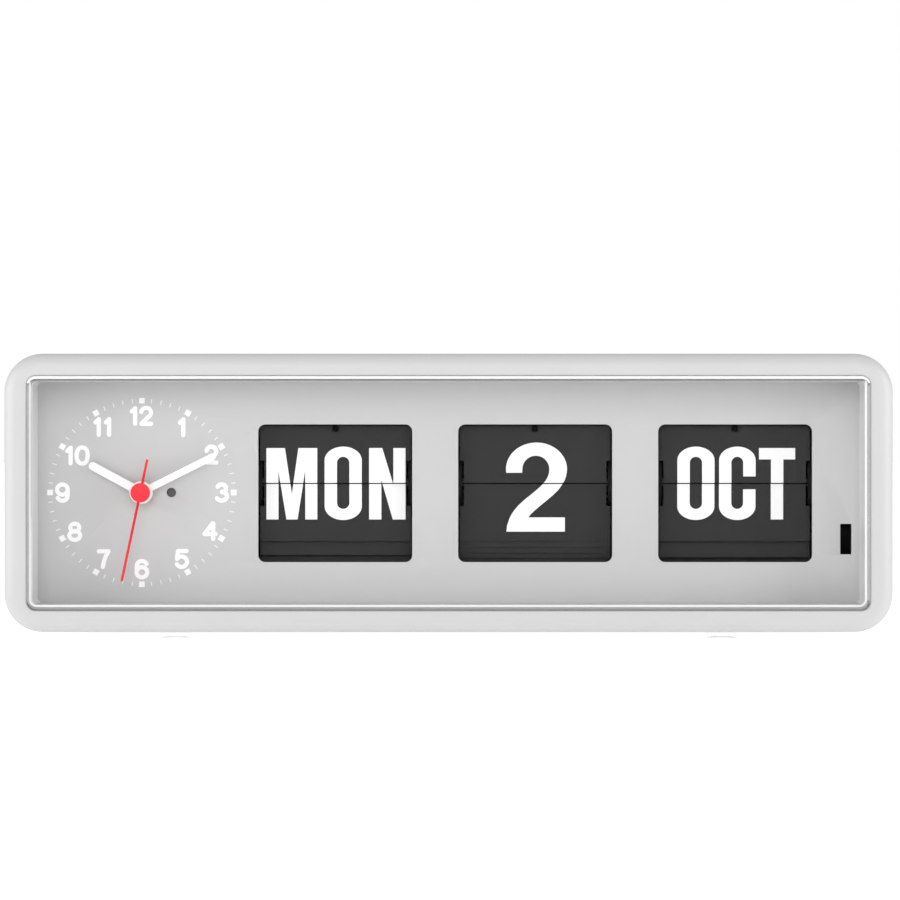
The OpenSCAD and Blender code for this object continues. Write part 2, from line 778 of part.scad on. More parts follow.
module setting_knob() {
  color("dimgray") at_hands() translate([setting_at[0], 0, setting_at[1]]) difference() {
    union() {
      along_y(y_cover + knob_gap, y_cover + knob_gap + knob_t) circle(d = knob_d - 2 * rib_out);
      along_y(y_cover + 3 * knob_gap, y_cover + knob_t) for (i = [0 : knob_ribs - 1])
        rotate(i * 360 / knob_ribs) translate([(knob_d - rib_d) / 2, 0]) circle(d = rib_d);
    }
    rod_y([0, 0], setting_d + 2 * seat_gap, y_cover, y_cover + arbor_out);
  }
}

module second_wheel() {
  color("ivory") at_hands() {
    rod_y([0, 0], second_d, y_second_hand, y_move_cover);
    along_y(y_second_wheel, y_second_wheel + train_t)
      gear(second_n, second_m, gap_at(fifth_dir, second_n));
  }
}

module fifth_wheel() {
  color("ivory") at_hands() translate([fifth_at[0], 0, fifth_at[1]]) {
    rod_y([0, 0], second_d, y_move, y_move_cover);
    along_y(y_second_wheel, y_fifth_wheel + train_t / 2) gear(small_n, second_m, fifth_dir + 180);
    along_y(y_fifth_wheel, y_fifth_wheel + train_t) gear(fifth_n, second_m, gap_at(rotor_dir, fifth_n));
  }
}

module motor_rotor() {
  color("gray") at_hands() translate([rotor_at[0], 0, rotor_at[1]]) {
    rod_y([0, 0], second_d, y_move, y_move_cover);
    along_y(y_fifth_wheel, y_rotor + rotor_t / 2) gear(small_n, second_m, rotor_dir + 180);
    rod_y([0, 0], rotor_d, y_rotor, y_rotor + rotor_t);
  }
}

// Stator: one loop of sheet with the rotor's hole in one limb and the coil on the other
module motor_stator() {
  color("silver") at_hands() translate([rotor_at[0], 0, rotor_at[1]])
    along_y(y_stator, y_stator + stator_t) difference() {
      translate([-stator_left, -stator_drop]) square([stator_w, stator_drop + stator_rise]);
      translate([stator_limb - stator_left, stator_limb - stator_drop])
        square([stator_w - 3 * stator_limb, stator_drop - stator_limb - stator_rise]);
      circle(d = rotor_d + 1);
    }
}

module motor_coil() {
  color("peru") at_hands() translate([rotor_at[0], 0, rotor_at[1] - stator_drop + stator_limb / 2])
    difference() {
      rod_x([y_stator + stator_t / 2, 0], coil_d, coil_start, coil_start + coil_len);
      along_x(coil_start - eps, coil_len) translate([y_stator + stator_t / 2, 0])
        square([stator_t + 2 * seat_gap, stator_limb + 2 * seat_gap], center = true);
    }
}

module circuit_board() {
  color("green") at_hands() along_y(y_board, y_board + board_t) translate(board_corner) square(board_size);
}

module quartz_crystal() {
  color("silver") at_hands() rod_x([y_board - crystal_d / 2 - touch_gap, crystal_at[1]],
    crystal_d, crystal_at[0], crystal_at[0] + crystal_len);
}

module day_night_wheel() {
  color("slategray") at_hands() translate([day_at[0], 0, day_at[1]])
    along_y(y_day, y_day + gear_t) difference() {
      gear(day_n, day_m, gap_at(day_dir + 180, day_n));
      circle(d = day_pin_d + 2 * run_gap);
    }
}

module calendar_base() {
  color("silver") difference() {
    along_z(base_z, base_top) translate([cheeks_x[0] - cheek_t, base_front])
      square([cheeks_x[3] - cheeks_x[0] + 2 * cheek_t, base_rear - base_front]);
    for (p = base_screws_at) translate([p[0], p[1], base_z - eps])
      cylinder(h = base_t + 2 * eps, d = screw_d + screw_play);
  }
}

module calendar_cheeks() {
  color("dimgray") for (i = [0 : 3])
    along_x(cheeks_x[i] - cheek_t / 2, cheeks_x[i] + cheek_t / 2) difference() {
      polygon([
        [y_cheek, base_top], [y_cheek_rear, base_top], [y_cheek_rear, drum_z + 6],
        [drum_y + 6, cheek_top], [y_cheek, cheek_top]
      ]);
      translate([drum_y, drum_z]) circle(d = axle_d + 2 * seat_gap);
      translate([thumb_y, drum_z]) circle(d = thumb_axle_d + 2 * seat_gap);
      if (i == 3) translate(leap_at) circle(d = setting_d + 2 * run_gap);
    }
}

module drum_axle() {
  color("silver") rod_x([drum_y, drum_z], axle_d, cheeks_x[0] - cheek_t, cheeks_x[3] + cheek_t);
}

module thumb_axle() {
  color("silver") rod_x([thumb_y, drum_z], thumb_axle_d, cheeks_x[0] - cheek_t, cheeks_x[3] + cheek_t);
}

// A strip across the cheeks with a finger over each window that holds the standing leaf
module flap_fingers() {
  color("black") along_y(y_cheek - finger_t, y_cheek) {
    translate([cheeks_x[0] - cheek_t / 2, cheek_top - 6])
      square([cheeks_x[3] - cheeks_x[0] + cheek_t, 6]);
    for (x = modules_x) {
      translate([x - finger_w / 2, window_top - finger_tip + finger_w / 2])
        square([finger_w, cheek_top - window_top + finger_tip - finger_w / 2]);
      translate([x, window_top - finger_tip + finger_w / 2]) circle(d = finger_w);
    }
  }
}

// Springs that stand on the base and click in the teeth of the drum gears
module drum_detents() {
  spring_y = drum_y - 6;
  reach = sqrt(pow(gear_tip(drum_n, drum_m), 2) - 36);
  color("silver") for (x = modules_x) translate([x + drum_gear_x + drum_gear_t / 2, 0, 0]) {
    along_x(-0.7, 0.7) translate([spring_y - detent_t / 2, base_top])
      square([detent_t, drum_z - reach - 0.4 - base_top]);
    along_z(base_top, base_top + 0.6) translate([-2, spring_y - 3]) square([4, 6]);
  }
}

// A flap: a thin plate with notched sides and a pin at each side, cut away at the top by notch
module flap(t, notch) {
  pin_root = flap_side - notch_in + pin_tab;
  plate_in = flap_side - notch_in;
  notch_half = finger_w / 2 + finger_gap;
  along_y(-t / 2, t / 2) difference() {
    union() {
      translate([-plate_in, -flap_lip]) square([2 * plate_in, flap_h + flap_lip]);
      translate([-flap_side, notch_h]) square([flap_w, flap_h - notch_h]);
      translate([-pin_root, 0]) square([2 * pin_root, pin_tab_h]);
    }
    translate([-notch_half, flap_h - notch]) square([2 * notch_half, notch + eps]);
  }
  for (s = [-1, 1]) mirror([s < 0 ? 1 : 0, 0, 0])
    rod_x([0, 0], pin_d, pin_root - pin_tab / 2, pin_end);
}

// The pack: flaps lie along the drum over the top and hang below it, where those at the front lean
// forwards and gather behind the first one, each a little farther back than the one before
function pack_angle(i, n) = pack_start + i * (360 - 2 * pack_start) / (n - 2);
function hang_lean(a) =
  let (edge_y = gather * (360 - pack_start - a) - pack_r * cos(pack_start))
  180 + asin((-pack_r * cos(a) - edge_y) / flap_h);
function pack_lean(a) = a < fold_from ? a
  : a > hang_from ? hang_lean(a)
  : fold_from + (hang_lean(hang_from) - fold_from) * (a - fold_from) / (hang_from - fold_from);
module flap_pack(x, n) {
  for (i = [0 : n - 2]) let (a = pack_angle(i, n))
    translate([x, drum_y - pack_r * cos(a), drum_z + pack_r * sin(a)])
      rotate([-pack_lean(a), 0, 0]) flap(flap_t, 0);
}

module falling_leaf(x) {
  translate([x, drum_y - leaf_r, drum_z]) rotate([-leaf_lean, 0, 0]) flap(leaf_t, finger_notch_h);
}

// A drum: two discs with a ring groove for the flap pins, a collar on the outside of each that keeps
// light out of the window, a hub and a gear
module drum(x) {
  translate([x, 0, 0]) difference() {
    union() {
      for (s = [-1, 1]) mirror([s < 0 ? 1 : 0, 0, 0]) {
        difference() {
          rod_x([drum_y, drum_z], 2 * disc_r, disc_in, disc_in + disc_t);
          along_x(disc_in - eps, disc_in + groove_deep) translate([drum_y, drum_z]) difference() {
            circle(groove_out);
            circle(groove_in);
          }
        }
        rod_x([drum_y, drum_z], 2 * collar_r, collar_in, collar_out);
      }
      rod_x([drum_y, drum_z], drum_hub_d, -hub_half, leap_pinion_x - 0.2);
      rod_x([drum_y, drum_z], axle_d + 1.6, 0, hub_half);
      along_x(drum_gear_x, drum_gear_x + drum_gear_t) translate([drum_y, drum_z])
        gear(drum_n, drum_m, gap_at(0, drum_n));
      children();
    }
    rod_x([drum_y, drum_z], axle_d + 2 * run_gap, -hub_half - eps, hub_half + eps);
  }
}

module weekday_drum() {
  color("dimgray") drum(weekday_x);
}
module date_drum() {
  color("dimgray") drum(date_x);
}
module month_drum() {
  color("dimgray") drum(month_x) along_x(leap_pinion_x, hub_half) translate([drum_y, drum_z])
    gear(leap_pinion_n, drum_m, leap_dir);
}

module weekday_flaps() {
  color("darkslategray") flap_pack(weekday_x, weekday_count);
}
module date_flaps() {
  color("darkslategray") flap_pack(date_x, date_count);
}
module month_flaps() {
  color("darkslategray") flap_pack(month_x, month_count);
}

module weekday_leaf() {
  color("darkslategray") falling_leaf(weekday_x);
}
module date_leaf() {
  color("darkslategray") falling_leaf(date_x);
}
module month_leaf() {
  color("darkslategray") falling_leaf(month_x);
}

// A thumbwheel: a gear that meshes with the drum, a knurled rim and a long hub
module thumbwheel(x) {
  translate([x, thumb_y, drum_z]) difference() {
    union() {
      along_x(drum_gear_x, drum_gear_x + drum_gear_t) gear(thumb_n, drum_m, 180);
      along_x(drum_gear_x + drum_gear_t / 2, thumb_rim_x + thumb_w) circle(d = thumb_hub_d * 3);
      along_x(thumb_rim_x, thumb_rim_x + thumb_w) gear(knurl_count, thumb_d / knurl_count / 1.03, 0);
      rod_x([0, 0], thumb_hub_d, -hub_half, hub_half);
    }
    rod_x([0, 0], thumb_axle_d + 2 * run_gap, -hub_half - eps, hub_half + eps);
  }
}

module weekday_thumbwheel() {
  color("gray") thumbwheel(weekday_x);
}
module date_thumbwheel() {
  color("gray") thumbwheel(date_x);
}
module month_thumbwheel() {
  color("gray") thumbwheel(month_x);
}

module leap_year_wheel() {
  middle = month_x + slot_x;
  color("black") {
    rod_x(leap_at, leap_d, middle - leap_wheel_w / 2, middle + leap_wheel_w / 2);
    rod_x(leap_at, setting_d, month_x + leap_pinion_x, middle);
  }
}

module leap_year_gear() {
  color("ivory") along_x(month_x + leap_pinion_x + 0.2, month_x + hub_half - 0.2) translate(leap_at)
    difference() {
      gear(leap_n, drum_m, gap_at(leap_dir + 180, leap_n));
      circle(d = setting_d + 2 * seat_gap);
    }
}

case_shell();
front_lens();
dial_plate();
back_cover();
case_screws();
dial_screws();
base_screws();
rubber_feet();
battery_door();
battery_cell();
battery_spring();
battery_contact();
battery_leads();
movement_case();
movement_cover();
dial_bush();
hour_hand();
minute_hand();
second_hand();
hour_wheel();
cannon_pinion();
minute_wheel();
setting_arbor();
setting_knob();
second_wheel();
fifth_wheel();
motor_rotor();
motor_stator();
motor_coil();
circuit_board();
quartz_crystal();
day_night_wheel();
calendar_base();
calendar_cheeks();
drum_axle();
thumb_axle();
flap_fingers();
drum_detents();
weekday_drum();
date_drum();
month_drum();
weekday_flaps();
date_flaps();
month_flaps();
weekday_leaf();
date_leaf();
month_leaf();
weekday_thumbwheel();
date_thumbwheel();
month_thumbwheel();
leap_year_wheel();
leap_year_gear();
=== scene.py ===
"""Calendar flip clock: the looks of the part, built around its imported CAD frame.

Metres, in the CAD frame: the front faces -Y, +Z is up, and the origin lies on the standing
surface below the middle of the case. The pieces come in the order the clock is put together.
"""
import math

import bmesh
import bpy
from mathutils import Matrix, Vector


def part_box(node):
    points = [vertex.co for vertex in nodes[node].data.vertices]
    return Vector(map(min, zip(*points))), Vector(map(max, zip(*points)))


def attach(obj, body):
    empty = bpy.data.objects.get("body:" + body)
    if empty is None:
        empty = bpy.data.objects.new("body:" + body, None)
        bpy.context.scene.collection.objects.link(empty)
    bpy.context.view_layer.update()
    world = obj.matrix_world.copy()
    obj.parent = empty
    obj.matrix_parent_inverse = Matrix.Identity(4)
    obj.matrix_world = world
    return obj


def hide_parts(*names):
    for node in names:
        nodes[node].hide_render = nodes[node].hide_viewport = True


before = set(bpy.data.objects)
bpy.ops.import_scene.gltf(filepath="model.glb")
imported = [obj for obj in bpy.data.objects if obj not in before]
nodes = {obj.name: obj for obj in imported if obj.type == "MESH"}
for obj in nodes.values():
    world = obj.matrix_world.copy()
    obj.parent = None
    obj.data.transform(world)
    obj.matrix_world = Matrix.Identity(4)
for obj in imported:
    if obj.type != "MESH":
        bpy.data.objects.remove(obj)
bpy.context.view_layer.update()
scene = bpy.context.scene

# Case shell
# One deep moulding of light grey ABS with a satin face: a rounded front edge, a rebate that takes
# the lens, and a tunnel that runs back to the dial, its side walls coloured paler as painted light
# from the side lamps. It is open at the rear, where the cover goes.
mm = 0.001
crease_angle = math.radians(35)
case_low, case_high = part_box("case_shell")
case_w = case_high.x - case_low.x
case_h = case_high.z - case_low.z
middle_z = (case_high.z + case_low.z) / 2
bezel_y = case_low.y
rear_y = case_high.y
dial_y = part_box("dial_plate")[0].y
case_corner = 14.5 * mm
case_edge = 5.5 * mm
case_wall = 2.6 * mm
rim_bevel = 0.6 * mm
rebate_w, rebate_h, rebate_corner = 317.6 * mm, 88.5 * mm, 3.75 * mm
rebate_bevel = 0.3 * mm
ledge_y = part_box("front_lens")[1].y
tunnel_w, tunnel_h, tunnel_corner = 313.2 * mm, 84.1 * mm, 2 * mm
tunnel_wall = 2 * mm
side_slope = 0.5
bezel_inside_y = bezel_y + 3 * mm


def srgb(red, green, blue):
    """A colour that is written in the 0 to 255 steps of a screen, as the shader wants it."""
    return tuple((c / 255 / 12.92) if c <= 10 else ((c / 255 + 0.055) / 1.055) ** 2.4
                 for c in (red, green, blue))


def finish(name, colour, roughness, grain, dent, mottle=0.02, metallic=0.0, shine=0.5):
    """A material with a fine grain in its surface and gloss and a broad mottle in its colour.

    The colour is in the 0 to 255 steps of a screen, the grain and its dent are in mm.
    """
    material = bpy.data.materials.new(name)
    material.use_nodes = True
    tree = material.node_tree
    shader = tree.nodes["Principled BSDF"]
    shader.inputs["Metallic"].default_value = metallic
    shader.inputs["Specular IOR Level"].default_value = shine
    grains_in_mottle, gloss_swing, relief_strength = 50, 0.06, 0.4
    place = tree.nodes.new("ShaderNodeTexCoord")
    fine = tree.nodes.new("ShaderNodeTexNoise")
    fine.inputs["Scale"].default_value = 1 / (grain * mm)
    fine.inputs["Detail"].default_value = 3
    broad = tree.nodes.new("ShaderNodeTexNoise")
    broad.inputs["Scale"].default_value = 1 / (grain * mm * grains_in_mottle)
    tint = tree.nodes.new("ShaderNodeValToRGB")
    for stop, shade in zip(tint.color_ramp.elements, (1 - mottle, 1 + mottle)):
        stop.color = (*[min(1, channel * shade) for channel in srgb(*colour)], 1)
    gloss = tree.nodes.new("ShaderNodeMapRange")
    gloss.inputs["To Min"].default_value = roughness - gloss_swing
    gloss.inputs["To Max"].default_value = roughness + gloss_swing
    relief = tree.nodes.new("ShaderNodeBump")
    relief.inputs["Strength"].default_value = relief_strength
    relief.inputs["Distance"].default_value = dent * mm
    for source, target in (
        (place.outputs["Object"], fine.inputs["Vector"]),
        (place.outputs["Object"], broad.inputs["Vector"]),
        (broad.outputs["Fac"], tint.inputs["Fac"]),
        (tint.outputs["Color"], shader.inputs["Base Color"]),
        (fine.outputs["Fac"], gloss.inputs["Value"]),
        (gloss.outputs["Result"], shader.inputs["Roughness"]),
        (fine.outputs["Fac"], relief.inputs["Height"]),
        (relief.outputs["Normal"], shader.inputs["Normal"]),
    ):
        tree.links.new(source, target)
    return material


def rounded_outline(width, height, radius, steps=12):
    """Points (x, z) of a rounded rectangle around the origin, anticlockwise from the front."""
    points = []
    for quarter, (side, rise) in enumerate(((1, 1), (-1, 1), (-1, -1), (1, -1))):
        for step in range(steps + 1):
            angle = math.radians(90 * (quarter + step / steps))
            points.append((side * (width / 2 - radius) + radius * math.cos(angle),
                           rise * (height / 2 - radius) + radius * math.sin(angle)))
    return points


def ring(width, height, radius, y, grow=0):
    """A rounded rectangle round the middle of the case, larger on each side by grow, as points."""
    outline = rounded_outline(width + 2 * grow, height + 2 * grow, radius + grow)
    return [Vector((x, y, middle_z + z)) for x, z in outline]


def piece(name, bm):
    """A finished object at the origin, faced outwards and smooth but for its creases."""
    bmesh.ops.recalc_face_normals(bm, faces=bm.faces)
    mesh = bpy.data.meshes.new(name)
    bm.to_mesh(mesh)
    bm.free()
    mesh.shade_smooth()
    mesh.set_sharp_from_angle(angle=crease_angle)
    obj = bpy.data.objects.new(name, mesh)
    scene.collection.objects.link(obj)
    return obj


def bridge(bm, rows):
    """Adds the faces between each ring of points and the next. A ring may be a single point."""
    for near, far in zip(rows, rows[1:]):
        count = max(len(near), len(far))
        for i in range(count):
            j = (i + 1) % count
            corners = [row[k % len(row)] for row, k in ((near, i), (near, j), (far, j), (far, i))]
            bm.faces.new(list(dict.fromkeys(corners)))


def loft(name, rings, closed):
    """A skin over rings: closed joins the last ring to the first, else the ends are capped."""
    bm = bmesh.new()
    rows = [[bm.verts.new(point) for point in points] for points in rings]
    if closed:
        rows.append(rows[0])
    else:
        bm.faces.new(rows[0])
        bm.faces.new(rows[-1])
    bridge(bm, rows)
    return piece(name, bm)


def fit(obj, material, body, slot, *replaced):
    """Gives a piece its finish, the body it moves with and the CAD nodes that it stands for."""
    obj.data.materials.clear()
    obj.data.materials.append(material)
    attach(obj, body)
    if replaced:
        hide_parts(*replaced)


def coat(material, *names):
    """Gives CAD nodes that are shown as they are their finish."""
    for name in names:
        for place in nodes[name].material_slots:
            place.material = material


def rounded_edge(width, height, radius, edge, y, steps=8):
    """Rings over a rounded edge, from the front face out to the side."""
    rings = []
    for step in range(steps + 1):
        angle = math.radians(90 * step / steps)
        back, inset = edge * (1 - math.cos(angle)), edge * (1 - math.sin(angle))
        rings.append(ring(width, height, radius, y + back, -inset))
    return rings


def shell_rings():
    """The rings of the shell in turn: tunnel, rebate, face, outside, rear rim, inside."""
    outside = (case_w, case_h, case_corner)
    rebate = (rebate_w, rebate_h, rebate_corner)
    tunnel = (tunnel_w, tunnel_h, tunnel_corner)
    return [
        ring(*tunnel, dial_y),
        ring(*tunnel, ledge_y + rebate_bevel),
        ring(*tunnel, ledge_y, rebate_bevel),
        ring(*rebate, ledge_y),
        ring(*rebate, bezel_y + rebate_bevel),
        ring(*rebate, bezel_y, rebate_bevel),
        *rounded_edge(*outside, case_edge, bezel_y),
        ring(*outside, rear_y - rim_bevel),
        ring(*outside, rear_y, -rim_bevel),
        ring(*outside, rear_y, rim_bevel - case_wall),
        ring(*outside, rear_y - rim_bevel, -case_wall),
        ring(*outside, bezel_inside_y, -case_wall),
        ring(*tunnel, bezel_inside_y, tunnel_wall),
        ring(*tunnel, dial_y, tunnel_wall),
    ]


satin_abs = finish("satin_abs", (203, 203, 203), 0.42, 0.35, 0.01)
case_shell = loft("case", shell_rings(), True)
fit(case_shell, satin_abs, "case", "case_plastic", "case_shell")
# The side walls of the tunnel take a paler copy of the finish: painted light where the side lamps
# fall on them.
side_walls_painted_light = finish("side_walls_painted_light", (226, 226, 226), 0.4, 0.35, 0.01)
case_shell.data.materials.append(side_walls_painted_light)
for face in case_shell.data.polygons:
    behind_lens = ledge_y < face.center.y < dial_y
    inside = abs(face.center.x) < (tunnel_w + tunnel_wall) / 2
    if behind_lens and inside and abs(face.normal.x) > side_slope:
        face.material_index = 1

# Rubber feet
# Four clear soft bumpers, moulded with a rounded lower edge and a shallow dish so that they hold on
# a smooth shelf. They are glued under the floor of the case.
foot_centres = [(x * 103.7 * mm, y * 30 * mm) for x in (-1, 1) for y in (-1, 1)]
foot_radius = 6 * mm
foot_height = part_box("rubber_feet")[1].z
dish_rise, dish_radius, tread_in, tread_out = 0.4 * mm, 4 * mm, 4.6 * mm, 5.3 * mm
bend_radius, bend_rise, bend_top = 5.8 * mm, 0.3 * mm, 0.9 * mm
foot_profile = [(0, dish_rise), (dish_radius, dish_rise), (tread_in, 0), (tread_out, 0),
                (bend_radius, bend_rise), (foot_radius, bend_top), (foot_radius, foot_height),
                (0, foot_height)]


def turn(bm, profile, origin, axis, steps=48):
    """Adds a turned form: the profile gives (radius, distance along the axis) from the origin."""
    axis = Vector(axis).normalized()
    across = axis.orthogonal().normalized()
    aside = axis.cross(across)
    rows = []
    for radius, along in profile:
        middle = Vector(origin) + axis * along
        if radius == 0:
            rows.append([bm.verts.new(middle)])
            continue
        angles = [2 * math.pi * step / steps for step in range(steps)]
        rows.append([bm.verts.new(middle + radius * (across * math.cos(a) + aside * math.sin(a)))
                     for a in angles])
    bridge(bm, rows)


def clear_plastic(name, colour, roughness, face_on, edge_on):
    """A see-through material that gets denser where its surface turns away."""
    acrylic_ior, turns_away_from = 1.49, 0.75
    material = finish(name, colour, roughness, 0.4, 0.001, 0.005)
    tree = material.node_tree
    shader = tree.nodes["Principled BSDF"]
    shader.inputs["IOR"].default_value = acrylic_ior
    turning = tree.nodes.new("ShaderNodeLayerWeight")
    cover = tree.nodes.new("ShaderNodeMapRange")
    cover.inputs["From Min"].default_value = turns_away_from
    cover.inputs["To Min"].default_value = face_on
    cover.inputs["To Max"].default_value = edge_on
    tree.links.new(turning.outputs["Facing"], cover.inputs["Value"])
    tree.links.new(cover.outputs["Result"], shader.inputs["Alpha"])
    return material


feet = bmesh.new()
for x, y in foot_centres:
    turn(feet, foot_profile, (x, y, 0), (0, 0, 1))
clear_rubber = clear_plastic("clear_rubber", (244, 244, 242), 0.35, 0.07, 0.45)
fit(piece("feet", feet), clear_rubber, "case", "foot_rubber", "rubber_feet")

# Dial plate
# A sheet of aluminium in matte light grey paint behind the tunnel, punched with three windows, a
# hole for the hands, a peephole and the leap year slot. Eight screws hold it by its ears.
dial_low, dial_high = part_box("dial_plate")
hands_x = -116.9 * mm
window_centres = {"weekday": -43.2 * mm, "date": 33.05 * mm, "month": 109.3 * mm}
window_w, window_h, window_corner = 58.7 * mm, 52.5 * mm, 2.7 * mm
window_drop = 0.3 * mm
bush_hole = 6.72 * mm
peephole_x, peephole_d = 11.2 * mm, 3.6 * mm
slot_x, slot_down = 151.5 * mm, 17.8 * mm
slot_w, slot_h, slot_corner = 4.3 * mm, 11.6 * mm, 0.3 * mm
ear_radius, ear_rise = 3 * mm, 46.55 * mm
ear_columns = (-140 * mm, -40 * mm, 40 * mm, 140 * mm)
ear_hole = 3 * mm
dial_edge = 0.15 * mm
weld_distance = 0.001 * mm


def moved(outline, x, z):
    """The outline with its origin at x, z."""
    return [(px + x, pz + z) for px, pz in outline]


def arc(x, z, across, up, start, end, steps=12):
    """Points over an elliptical arc, in degrees."""
    angles = [math.radians(start + (end - start) * step / steps) for step in range(steps + 1)]
    return [(x + across * math.cos(a), z + up * math.sin(a)) for a in angles]


def circle(diameter, x, z, steps=48):
    """A round outline."""
    return arc(x, z, diameter / 2, diameter / 2, 0, 360, steps)[:-1]


def evaluated(obj):
    """A new mesh of the object as its curve or its modifiers make it."""
    seen = bpy.context.evaluated_depsgraph_get()
    return bpy.data.meshes.new_from_object(obj.evaluated_get(seen))


def cut_plate(name, outlines, front, back, edge):
    """A flat sheet with softened edges: the first outline is its rim, the others are holes."""
    curve = bpy.data.curves.new(name, "CURVE")
    curve.dimensions = "2D"
    curve.fill_mode = "BOTH"
    curve.extrude = (back - front) / 2 - edge
    curve.bevel_depth = edge
    curve.bevel_resolution = 1
    curve.offset = -edge
    for outline in outlines:
        spline = curve.splines.new("POLY")
        spline.points.add(len(outline) - 1)
        for point, (x, z) in zip(spline.points, outline):
            point.co = (x, z, 0, 1)
        spline.use_cyclic_u = True
    flat = bpy.data.objects.new(name, curve)
    scene.collection.objects.link(flat)
    mesh = evaluated(flat)
    bpy.data.objects.remove(flat)
    bpy.data.curves.remove(curve)
    bm = bmesh.new()
    bm.from_mesh(mesh)
    bpy.data.meshes.remove(mesh)
    bmesh.ops.remove_doubles(bm, verts=bm.verts, dist=weld_distance)
    upright = Matrix.Translation((0, (front + back) / 2, 0)) @ Matrix.Rotation(math.pi / 2, 4, "X")
    bmesh.ops.transform(bm, matrix=upright, verts=bm.verts)
    return piece(name, bm)


def dial_rim():
    """The rim of the plate with its ears at top and bottom."""
    corners = rounded_outline(tunnel_w + 2 * tunnel_wall, tunnel_h + 2 * tunnel_wall,
                              tunnel_corner + tunnel_wall)
    quarter = len(corners) // 4
    neck = math.degrees(math.asin((ear_rise - tunnel_h / 2 - tunnel_wall) / ear_radius))
    top = []
    bottom = []
    for x in ear_columns:
        top = arc(x, ear_rise, ear_radius, ear_radius, -neck, 180 + neck, 16) + top
        bottom += arc(x, -ear_rise, ear_radius, ear_radius, 180 - neck, 360 + neck, 16)
    return corners[:quarter] + top + corners[quarter:3 * quarter] + bottom + corners[3 * quarter:]


dial_outlines = [moved(dial_rim(), 0, middle_z)]
for x in window_centres.values():
    dial_outlines.append(moved(rounded_outline(window_w, window_h, window_corner),
                               x, middle_z - window_drop))
dial_outlines.append(circle(bush_hole, hands_x, middle_z))
dial_outlines.append(circle(peephole_d, hands_x + peephole_x, middle_z))
dial_outlines.append(moved(rounded_outline(slot_w, slot_h, slot_corner, 4),
                           slot_x, middle_z - slot_down))
for x in ear_columns:
    for rise in (ear_rise, -ear_rise):
        dial_outlines.append(circle(ear_hole, x, middle_z + rise, 24))
dial_paint = finish("dial_paint", (201, 201, 201), 0.62, 0.12, 0.004, 0.01)
dial_plate = cut_plate("dial", dial_outlines, dial_low.y, dial_high.y, dial_edge)
fit(dial_plate, dial_paint, "case", "dial_paint", "dial_plate")

# Hour blocks and minute marks
# Screen print in white enamel on the plate: a square block at each hour and a thin mark at each
# minute, all on one circle round the hands. The ink stands up a little, so its edge shows.
print_height = 0.08 * mm
mark_radius = 35.0 * mm
block_side = 2.15 * mm
mark_width, mark_length = 0.42 * mm, 1.7 * mm


def spread_tree():
    """A node tree that puts a piece at each point of a mesh, its Y axis turned outwards or left."""
    tree = bpy.data.node_groups.new("piece_at_each_point", "GeometryNodeTree")
    for name, kind in (("Geometry", "Geometry"), ("Piece", "Object"), ("Outwards", "Float")):
        tree.interface.new_socket(name, in_out="INPUT", socket_type="NodeSocket" + kind)
    tree.interface.new_socket("Geometry", in_out="OUTPUT", socket_type="NodeSocketGeometry")
    add = tree.nodes.new
    given, result = add("NodeGroupInput").outputs, add("NodeGroupOutput")
    model = add("GeometryNodeObjectInfo")
    heading = add("FunctionNodeAlignRotationToVector")
    heading.axis = "Y"
    heading.pivot_axis = "Z"
    placed = add("GeometryNodeInstanceOnPoints")
    real = add("GeometryNodeRealizeInstances")
    for source, target in (
        (given["Piece"], model.inputs["Object"]),
        (given["Outwards"], heading.inputs["Factor"]),
        (add("GeometryNodeInputPosition").outputs[0], heading.inputs["Vector"]),
        (given["Geometry"], placed.inputs["Points"]),
        (model.outputs["Geometry"], placed.inputs["Instance"]),
        (heading.outputs[0], placed.inputs["Rotation"]),
        (placed.outputs[0], real.inputs[0]),
        (real.outputs[0], result.inputs[0]),
    ):
        tree.links.new(source, target)
    return tree


def spread(name, model, places, outwards=0.0):
    """Copies of a model at the places, as one piece. The model itself goes."""
    start = bpy.data.meshes.new(name + "_places")
    start.from_pydata(places, [], [])
    obj = bpy.data.objects.new(name, start)
    scene.collection.objects.link(obj)
    modifier = obj.modifiers.new(name, "NODES")
    modifier.node_group = piece_at_points
    settings = {"Piece": model, "Outwards": outwards}
    for socket in piece_at_points.interface.items_tree:
        if socket.name in settings:
            modifier[socket.identifier] = settings[socket.name]
    obj.data = evaluated(obj)
    obj.modifiers.remove(modifier)
    bpy.data.meshes.remove(start)
    bpy.data.objects.remove(model)
    obj.data.set_sharp_from_angle(angle=crease_angle)
    return obj


def blocks_round(name, count, radius, size, place):
    """Equal blocks round a circle, each as wide, long and high as the size says, put in place."""
    block = bmesh.new()
    bmesh.ops.create_cube(block, size=1, matrix=Matrix.Diagonal((*size, 1)))
    ring_places = [(x, y, 0) for x, y in circle(2 * radius, 0, 0, count)]
    blocks = spread(name, piece("block", block), ring_places, 1.0)
    blocks.data.transform(place)
    return blocks


on_dial = (Matrix.Translation((hands_x, dial_y - print_height / 2, middle_z))
           @ Matrix.Rotation(math.pi / 2, 4, "X"))
piece_at_points = spread_tree()
white_enamel = finish("white_enamel", (254, 254, 254), 0.5, 0.15, 0.003, 0.005)
thin_enamel = finish("thin_enamel", (236, 236, 236), 0.5, 0.15, 0.003, 0.005)
hour_size = (block_side, block_side, print_height)
minute_size = (mark_width, mark_length, print_height / 2)
hour_blocks = blocks_round("hour_blocks", 12, mark_radius, hour_size, on_dial)
minute_marks = blocks_round("minute_marks", 60, mark_radius, minute_size, on_dial)
fit(hour_blocks, white_enamel, "case", "hand_white")
fit(minute_marks, thin_enamel, "case", "hand_white")

